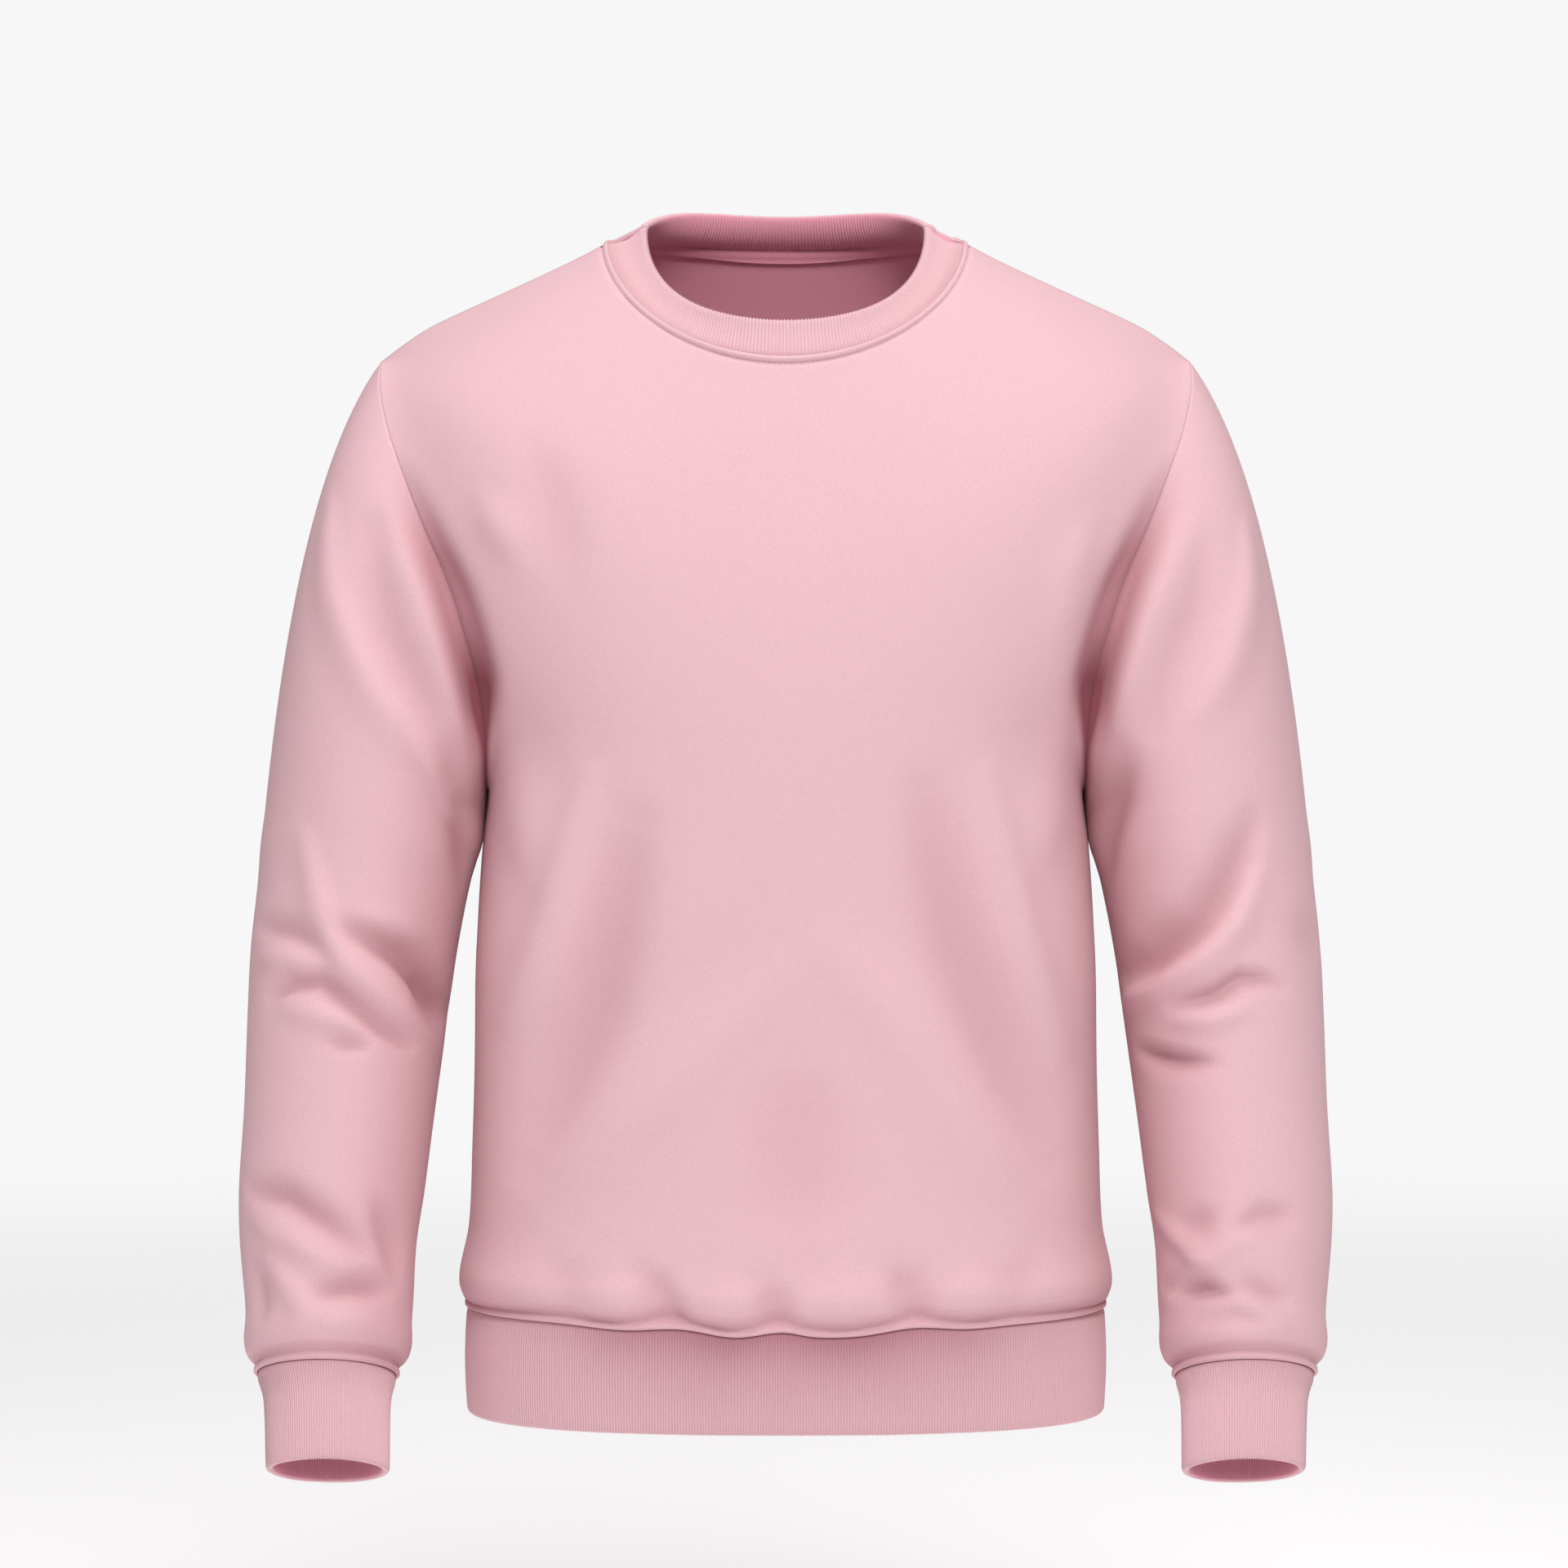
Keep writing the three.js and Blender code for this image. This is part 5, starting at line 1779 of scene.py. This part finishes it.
@dataclass(frozen=True)
class KnitFinish:
    """A knit's colour and surface.

    Attributes:
        name: Name of the material.
        colour: Linear base colour.
        wale: Width of one stitch in millimetres.
        course: Height of one stitch in millimetres.
        relief: Depth of the stitches in the bump, in millimetres.
        melange: How much the colour varies from fibre to fibre.
        roughness: Roughness of the fibres.
        specular: Their mirror reflection.
        sheen: Strength of the nap's sheen.
        sheen_roughness: Roughness of that sheen.
        sheen_tint: Its colour.
        bump_strength: Strength of the bump.
        inside: How much the inner side darkens the colour.
        valley: How much the painted shade between two ribs darkens the colour.
        crease: How much the painted shade of a deep crease darkens the colour.
        painted_pit_shade: How much the painted shade at the deepest place, where two pieces press together,
            darkens it further.
    """

    name: str
    colour: tuple[float, float, float]
    wale: float = 0.95
    course: float = 0.75
    relief: float = 0.1
    melange: float = 0.09
    roughness: float = 0.92
    specular: float = 0.25
    sheen: float = 0.13
    sheen_roughness: float = 0.6
    sheen_tint: tuple[float, float, float] = (1.0, 0.76, 0.80)
    bump_strength: float = 0.55
    inside: tuple[float, float, float] = (1.05, 0.72, 0.84)
    # Colours of the painted shade between ribs, in creases and at the armpit.
    valley: tuple[float, float, float] = (0.84, 0.76, 0.78)
    crease: tuple[float, float, float] = (0.67, 0.50, 0.54)
    painted_pit_shade: tuple[float, float, float] = (0.50, 0.28, 0.32)

    def build(self) -> bpy.types.Material:
        """Makes the material.

        Returns:
            A node material that reads the cloth's own unrolled coordinates.
        """
        material = bpy.data.materials.new(self.name)
        material.use_nodes = True
        nodes = NodeHelper(material.node_tree)
        shader = material.node_tree.nodes["Principled BSDF"]
        shader.inputs["Roughness"].default_value = self.roughness
        shader.inputs["Specular IOR Level"].default_value = self.specular
        shader.inputs["Sheen Weight"].default_value = self.sheen
        shader.inputs["Sheen Roughness"].default_value = self.sheen_roughness
        shader.inputs["Sheen Tint"].default_value = (*self.sheen_tint, 1.0)
        place = nodes.node("ShaderNodeTexCoord").outputs["Object"]
        bump = nodes.node("ShaderNodeBump")
        bump.inputs["Strength"].default_value = self.bump_strength
        bump.inputs["Distance"].default_value = self.relief * MM
        nodes.link(self.surface(nodes, place), bump.inputs["Height"])
        nodes.link(bump.outputs[0], shader.inputs["Normal"])
        nodes.link(self.shaded(nodes, self.tinted(nodes, place)), shader.inputs["Base Color"])
        return material

    def surface(self, nodes: NodeHelper, place: bpy.types.NodeSocket) -> bpy.types.NodeSocket:
        """Adds the knit's stitches and fibres.

        Args:
            nodes: The material's nodes.
            place: Object coordinates.

        Returns:
            The height for the bump.
        """
        cloth = nodes.node("ShaderNodeUVMap", uv_map="Cloth")
        split = nodes.node("ShaderNodeSeparateXYZ")
        nodes.link(cloth.outputs[0], split.inputs[0])
        across = nodes.math("MULTIPLY", split.outputs["X"], 1 / (self.wale * MM))
        along = nodes.math("MULTIPLY", split.outputs["Y"], 1 / (self.course * MM))
        off_centre = nodes.math("ABSOLUTE", nodes.math("SUBTRACT", nodes.math("FRACT", across), 0.5))
        leaning = nodes.math("ADD", along, off_centre)
        loops = nodes.math("SINE", nodes.math("MULTIPLY", leaning, 2 * math.pi))
        wales = nodes.math("SINE", nodes.math("MULTIPLY", off_centre, 2 * math.pi))
        stitch = nodes.math("MULTIPLY", nodes.math("ADD", loops, LOOP_LEVEL), wales)
        fibre = nodes.noise(place, *FIBRE_NOISE)
        stitch = nodes.math("MULTIPLY", stitch, STITCH_SHARE)
        return nodes.math("ADD", stitch, nodes.math("MULTIPLY", fibre, FIBRE_SHARE))

    def tinted(self, nodes: NodeHelper, place: bpy.types.NodeSocket) -> bpy.types.NodeSocket:
        """Adds the colour, which varies a little from fibre to fibre and over the piece.

        Args:
            nodes: The material's nodes.
            place: Object coordinates.

        Returns:
            The colour.
        """
        speckle = nodes.math("SUBTRACT", nodes.noise(place, *SPECKLE_NOISE), 0.5)
        speckle = nodes.math("MULTIPLY", speckle, self.melange * SPECKLE_GAIN)
        cloud = nodes.math("SUBTRACT", nodes.noise(place, *CLOUD_NOISE), 0.5)
        cloud = nodes.math("MULTIPLY", cloud, CLOUD_SHARE)
        shade = nodes.math("ADD", nodes.math("ADD", speckle, cloud), 1.0)
        return nodes.product(1.0, (*self.colour, 1.0), shade)

    def shaded(self, nodes: NodeHelper, colour: bpy.types.NodeSocket) -> bpy.types.NodeSocket:
        """Adds the inner side's tint and the painted shade that the cloth's own named values ask for.

        Args:
            nodes: The material's nodes.
            colour: The plain colour.

        Returns:
            The colour, tinted on the inner side and darkened by painted shade where the cloth is hollow.
        """
        shares = {}
        for label in ("inside", "valley", "crease"):
            shares[label] = nodes.node("ShaderNodeAttribute", attribute_name=label).outputs["Fac"]
        # Painted shade deeper still where the crease value passes 1, where two pieces press together.
        shares["painted_pit_shade"] = nodes.math("SUBTRACT", shares["crease"], 1.0)
        shades = {"inside": self.inside, "valley": self.valley, "crease": self.crease, "painted_pit_shade": self.painted_pit_shade}
        for label, shade in shades.items():
            colour = nodes.product(shares[label], colour, (*shade, 1.0))
        return colour


FLEECE_FINISH = KnitFinish("pink_fleece", (0.75, 0.475, 0.515))
RIB_FINISH = KnitFinish("pink_rib_knit", (0.79, 0.52, 0.558), wale=0.8, course=0.8, relief=0.08)
TAPE_FINISH = KnitFinish("pink_tape", (0.70, 0.40, 0.45), wale=0.7, course=0.7, relief=0.08)
THREAD_FINISH = KnitFinish(
    "pink_thread", (0.79, 0.50, 0.54), wale=0.3, course=0.3, relief=0.03, melange=0.02
)


@dataclass
class StitchRow:
    """A row of stitches along a path on the cloth.

    Attributes:
        name: Name of the piece.
        path: Points on the cloth.
        out: Directions out of the cloth there.
        is_closed: Whether the row meets itself.
        slot: Name of a material slot; not used.
        spacing: Distance from stitch to stitch, in millimetres.
        length: Length of one stitch.
        thread: Half thickness of the thread.
        lift: Height of the thread's middle above the cloth.
    """

    name: str
    path: Array
    out: Array
    is_closed: bool
    slot: str = "fleece"
    spacing: float = 3.0
    length: float = 2.3
    thread: float = 0.26
    lift: float = 0.08

    def build(self, tree: GeometryTree, finish: bpy.types.Material) -> bpy.types.Object:
        """Makes the row and ties it to the frame.

        Args:
            tree: The tree that lays stitches on a curve.
            finish: The thread's material.

        Returns:
            The finished row.
        """
        curve = bpy.data.curves.new(self.name, "CURVE")
        curve.dimensions = "3D"
        spline = curve.splines.new("POLY")
        points = (self.path + unit(self.out) * self.lift) * MM
        spline.points.add(len(points) - 1)
        spline.points.foreach_set("co", np.column_stack([points, np.ones(len(points))]).ravel())
        spline.use_cyclic_u = self.is_closed
        piece = bpy.data.objects.new(self.name, curve)
        bpy.context.scene.collection.objects.link(piece)
        values = {
            "Spacing": self.spacing * MM,
            "Length": self.length / 2 * MM,
            "Thread": self.thread * MM,
            "Material": finish,
        }
        made = tree.apply(piece, values)
        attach(made, "root")
        return made


@dataclass
class Studio:
    """Camera, lights and floor.

    Attributes:
        distance: Distance from the camera to the garment's side seams, in metres.
        height: Height of the camera above the shoulders.
        sideways: Distance of the camera from the garment's middle.
        picture_width: Width of the picture in the plane of the side seams.
        sensor: Width of the camera's sensor, in millimetres.
        floor_z: Height of the floor.
        floor_radius: Radius of the floor.
        floor_fade: Distances from the middle between which the floor fades out.
        floor_corners: Corners round the floor.
        floor_rings: Rings of the floor.
        paper: Colour of the backdrop.
        floor_colour: Colour of the floor.
        floor_glow: How much of the backdrop's colour the floor gives off itself.
        room_colour: Colour of the light that the room gives.
        room_light: Strength of that light.
    """

    distance: float = 2.457
    height: float = -0.3149
    sideways: float = -0.00094
    picture_width: float = 0.9024
    sensor: float = 36.0
    floor_z: float = -0.95
    floor_radius: float = 7.0
    floor_fade: tuple[float, float] = (1.2, 5.0)
    floor_corners: int = 96
    floor_rings: int = 12
    paper: tuple[float, float, float] = (0.93, 0.93, 0.93)
    floor_colour: tuple[float, float, float] = (0.9, 0.9, 0.9)
    floor_glow: float = 0.42
    room_colour: tuple[float, float, float] = (1.0, 0.92, 0.93)
    room_light: float = 0.23

    def build(self) -> None:
        """Makes the camera, the light and the floor."""
        scene = bpy.context.scene
        camera = bpy.data.cameras.new("camera")
        camera.sensor_width = self.sensor
        camera.lens = self.sensor * self.distance / self.picture_width
        holder = bpy.data.objects.new("camera", camera)
        holder.location = (self.sideways, -self.distance, self.height)
        holder.rotation_euler = (math.pi / 2, 0, 0)
        scene.collection.objects.link(holder)
        scene.camera = holder
        scene.view_settings.view_transform = "Standard"
        world = bpy.data.worlds.new("studio")
        world.use_nodes = True
        self.lit_world(world.node_tree)
        scene.world = world
        self.light("key", Vector((0.34, -2.4, 1.9)), 1.1, 64)
        self.light("top", Vector((0.0, -0.7, 2.2)), 1.2, 27)
        self.light("fill", Vector((-1.6, -2.4, 0.4)), 1.4, 3)
        self.light("behind", Vector((0.4, 2.6, 1.5)), 1.6, 10)
        self.floor()

    def lit_world(self, tree: bpy.types.NodeTree) -> None:
        """Makes the backdrop pale, and its light on the garment softer than it looks.

        Args:
            tree: The world's node tree.
        """
        backdrop = tree.nodes["Background"]
        backdrop.inputs["Color"].default_value = (*self.paper, 1)
        room = tree.nodes.new("ShaderNodeBackground")
        room.inputs["Color"].default_value = (*self.room_colour, 1)
        room.inputs["Strength"].default_value = self.room_light
        ray = tree.nodes.new("ShaderNodeLightPath")
        mix = tree.nodes.new("ShaderNodeMixShader")
        tree.links.new(ray.outputs["Is Camera Ray"], mix.inputs[0])
        tree.links.new(room.outputs[0], mix.inputs[1])
        tree.links.new(backdrop.outputs[0], mix.inputs[2])
        tree.links.new(mix.outputs[0], tree.nodes["World Output"].inputs["Surface"])

    def light(self, name: str, place: Vector, size: float, power: float) -> None:
        """Adds a square soft light that points at the garment's middle.

        Args:
            name: Its name.
            place: Where it stands, in metres.
            size: Its side in metres.
            power: Its power in watts.
        """
        lamp = bpy.data.lights.new(name, "AREA")
        lamp.shape = "SQUARE"
        lamp.size = size
        lamp.energy = power
        holder = bpy.data.objects.new(name, lamp)
        holder.location = place
        middle = Vector((0, 0, self.height))
        holder.rotation_euler = (middle - place).to_track_quat("-Z", "Y").to_euler()
        bpy.context.scene.collection.objects.link(holder)

    def floor_mesh(self) -> bpy.types.Mesh:
        """The floor's disc.

        Returns:
            A mesh of rings round its middle.
        """
        count = self.floor_corners
        rings = np.linspace(0.2, self.floor_radius, self.floor_rings)
        points = [(0.0, 0.0, self.floor_z)]
        for radius in rings:
            for k in range(count):
                angle = 2 * math.pi * k / count
                points.append((radius * math.cos(angle), radius * math.sin(angle), self.floor_z))
        faces = [(0, 1 + k, 1 + (k + 1) % count) for k in range(count)]
        for ring in range(len(rings) - 1):
            low, high = 1 + ring * count, 1 + (ring + 1) * count
            for k in range(count):
                following = (k + 1) % count
                faces.append((low + k, high + k, high + following, low + following))
        mesh = bpy.data.meshes.new("floor")
        mesh.from_pydata(points, [], faces)
        return mesh

    def floor_finish(self) -> bpy.types.Material:
        """The floor's material.

        Returns:
            A pale material that is clear at the floor's edge.
        """
        material = bpy.data.materials.new("pale_floor")
        material.use_nodes = True
        nodes = NodeHelper(material.node_tree)
        shader = material.node_tree.nodes["Principled BSDF"]
        shader.inputs["Base Color"].default_value = (*self.floor_colour, 1)
        shader.inputs["Roughness"].default_value = 0.9
        shader.inputs["Emission Color"].default_value = (*self.paper, 1)
        shader.inputs["Emission Strength"].default_value = self.floor_glow
        place = nodes.node("ShaderNodeTexCoord")
        length = nodes.node("ShaderNodeVectorMath", operation="LENGTH")
        nodes.link(place.outputs["Object"], length.inputs[0])
        fade = nodes.node("ShaderNodeMapRange", interpolation_type="SMOOTHSTEP")
        fade.inputs["From Min"].default_value = self.floor_fade[0]
        fade.inputs["From Max"].default_value = self.floor_fade[1]
        fade.inputs["To Min"].default_value = 1.0
        fade.inputs["To Max"].default_value = 0.0
        nodes.link(length.outputs["Value"], fade.inputs["Value"])
        nodes.link(fade.outputs[0], shader.inputs["Alpha"])
        return material

    def floor(self) -> None:
        """Adds a pale floor that fades out into the backdrop's colour."""
        mesh = self.floor_mesh()
        floor = bpy.data.objects.new("floor", mesh)
        bpy.context.scene.collection.objects.link(floor)
        mesh.materials.append(self.floor_finish())


@dataclass
class Sweatshirt:
    """The whole garment.

    Attributes:
        front: The front panel.
        back: The back panel.
        sleeves: Both sleeves.
    """

    front: Panel = field(default_factory=lambda: Panel(Part.FRONT, FRONT_FOLDS, (0.6, 0.66), 0.33))
    back: Panel = field(default_factory=lambda: Panel(Part.BACK, BACK_FOLDS, (0.6, 0.7), 0.34))
    sleeves: dict[Arm, Sleeve] = field(
        default_factory=lambda: {
            Arm.LEFT: Sleeve(Arm.LEFT, LEFT_SLEEVE_FOLDS),
            Arm.RIGHT: Sleeve(Arm.RIGHT, RIGHT_SLEEVE_FOLDS),
        }
    )

    def build(self) -> None:
        """Makes every piece, dresses it and ties it to the frame."""
        fleece, rib = FLEECE_FINISH.build(), RIB_FINISH.build()
        tape_finish, thread = TAPE_FINISH.build(), THREAD_FINISH.build()
        ribs, stitches = rib_tree(), stitch_tree()
        for panel in (self.front, self.back):
            self.dress(panel, panel.build().build(), fleece)
        hem = HemBand("hem_band", rib_count=620, width=59, flat_size=(0.97, 0.062))
        edge, out = self.round_edge(0)
        self.finish(hem, hem.build(edge, out, ribs, rib))
        collar = Collar("collar", rib_count=296, width=22, flat_size=(0.56, 0.026))
        edge, out = self.round_edge(-1)
        self.finish(collar, collar.build(edge, out, ribs, rib))
        tape = NeckTape()
        self.dress(tape, tape.build(self.back).build(), tape_finish)
        for arm, sleeve in self.sleeves.items():
            self.dress(sleeve, sleeve.build().build(), fleece)
            name = f"cuff_{arm.name.lower()}"
            cuff = Cuff(name, rib_count=150, width=53.5, flat_size=(0.235, 0.056), arm=arm)
            self.finish(cuff, cuff.build(sleeve.outer[-1], sleeve.normals[-1], ribs, rib))
        for row in self.stitch_rows():
            self.log(row.build(stitches, thread))

    def round_edge(self, row: int) -> tuple[Array, Array]:
        """The closed edge of both panels at the hem (row 0) or the neck (row -1).

        Args:
            row: Which edge.

        Returns:
            Its points and the directions out of the cloth.
        """
        points = np.vstack([self.front.outer[row][::-1], self.back.outer[row]])
        normals = np.vstack([self.front.normals[row][::-1], self.back.normals[row]])
        return points, normals

    def stitch_rows(self) -> list[StitchRow]:
        """The rows of topstitching beside the seams.

        Returns:
            One row for each seam that has a welt.
        """
        rows = []
        for label, part in (("front", self.front), ("back", self.back)):
            down, up = part.outer[::-1, 1:-1], part.outer[:, 1:-1]
            neck = points_at_distance(down, CLOTH.welt_width)
            hem = points_at_distance(up, CLOTH.welt_width)
            neck_out = part.normals[NECK_STITCH_ROW, 1:-1]
            hem_out = part.normals[HEM_STITCH_ROW, 1:-1]
            rows.append(StitchRow(f"neck_stitch_{label}", neck, neck_out, False))
            rows.append(StitchRow(f"hem_stitch_{label}", hem, hem_out, False))
        for arm, sleeve in self.sleeves.items():
            ring = points_at_distance(sleeve.outer[::-1], CLOTH.welt_width)
            ring_out = sleeve.normals[CUFF_STITCH_ROW]
            rows.append(StitchRow(f"cuff_stitch_{arm.name.lower()}", ring, ring_out, True))
        return rows

    def dress(
        self, maker: Panel | Sleeve | NeckTape, piece: bpy.types.Object, finish: bpy.types.Material
    ) -> None:
        """Gives a piece its material, then ties it to the frame."""
        piece.data.materials.append(finish)
        self.finish(maker, piece)

    def finish(self, maker: Panel | Sleeve | NeckTape | Band, piece: bpy.types.Object) -> None:
        """Ties a finished piece to the frame."""
        maker.declare(piece)
        self.log(piece)

    @staticmethod
    def log(piece: bpy.types.Object) -> None:
        """Reports a piece and its size."""
        LOG.info("%s: %d faces", piece.name, len(piece.data.polygons))


def main() -> None:
    """Loads the frame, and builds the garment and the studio."""
    logging.basicConfig(level=logging.INFO, format="%(name)s: %(message)s")
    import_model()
    Sweatshirt().build()
    Studio().build()


if __name__ == "__main__":
    main()
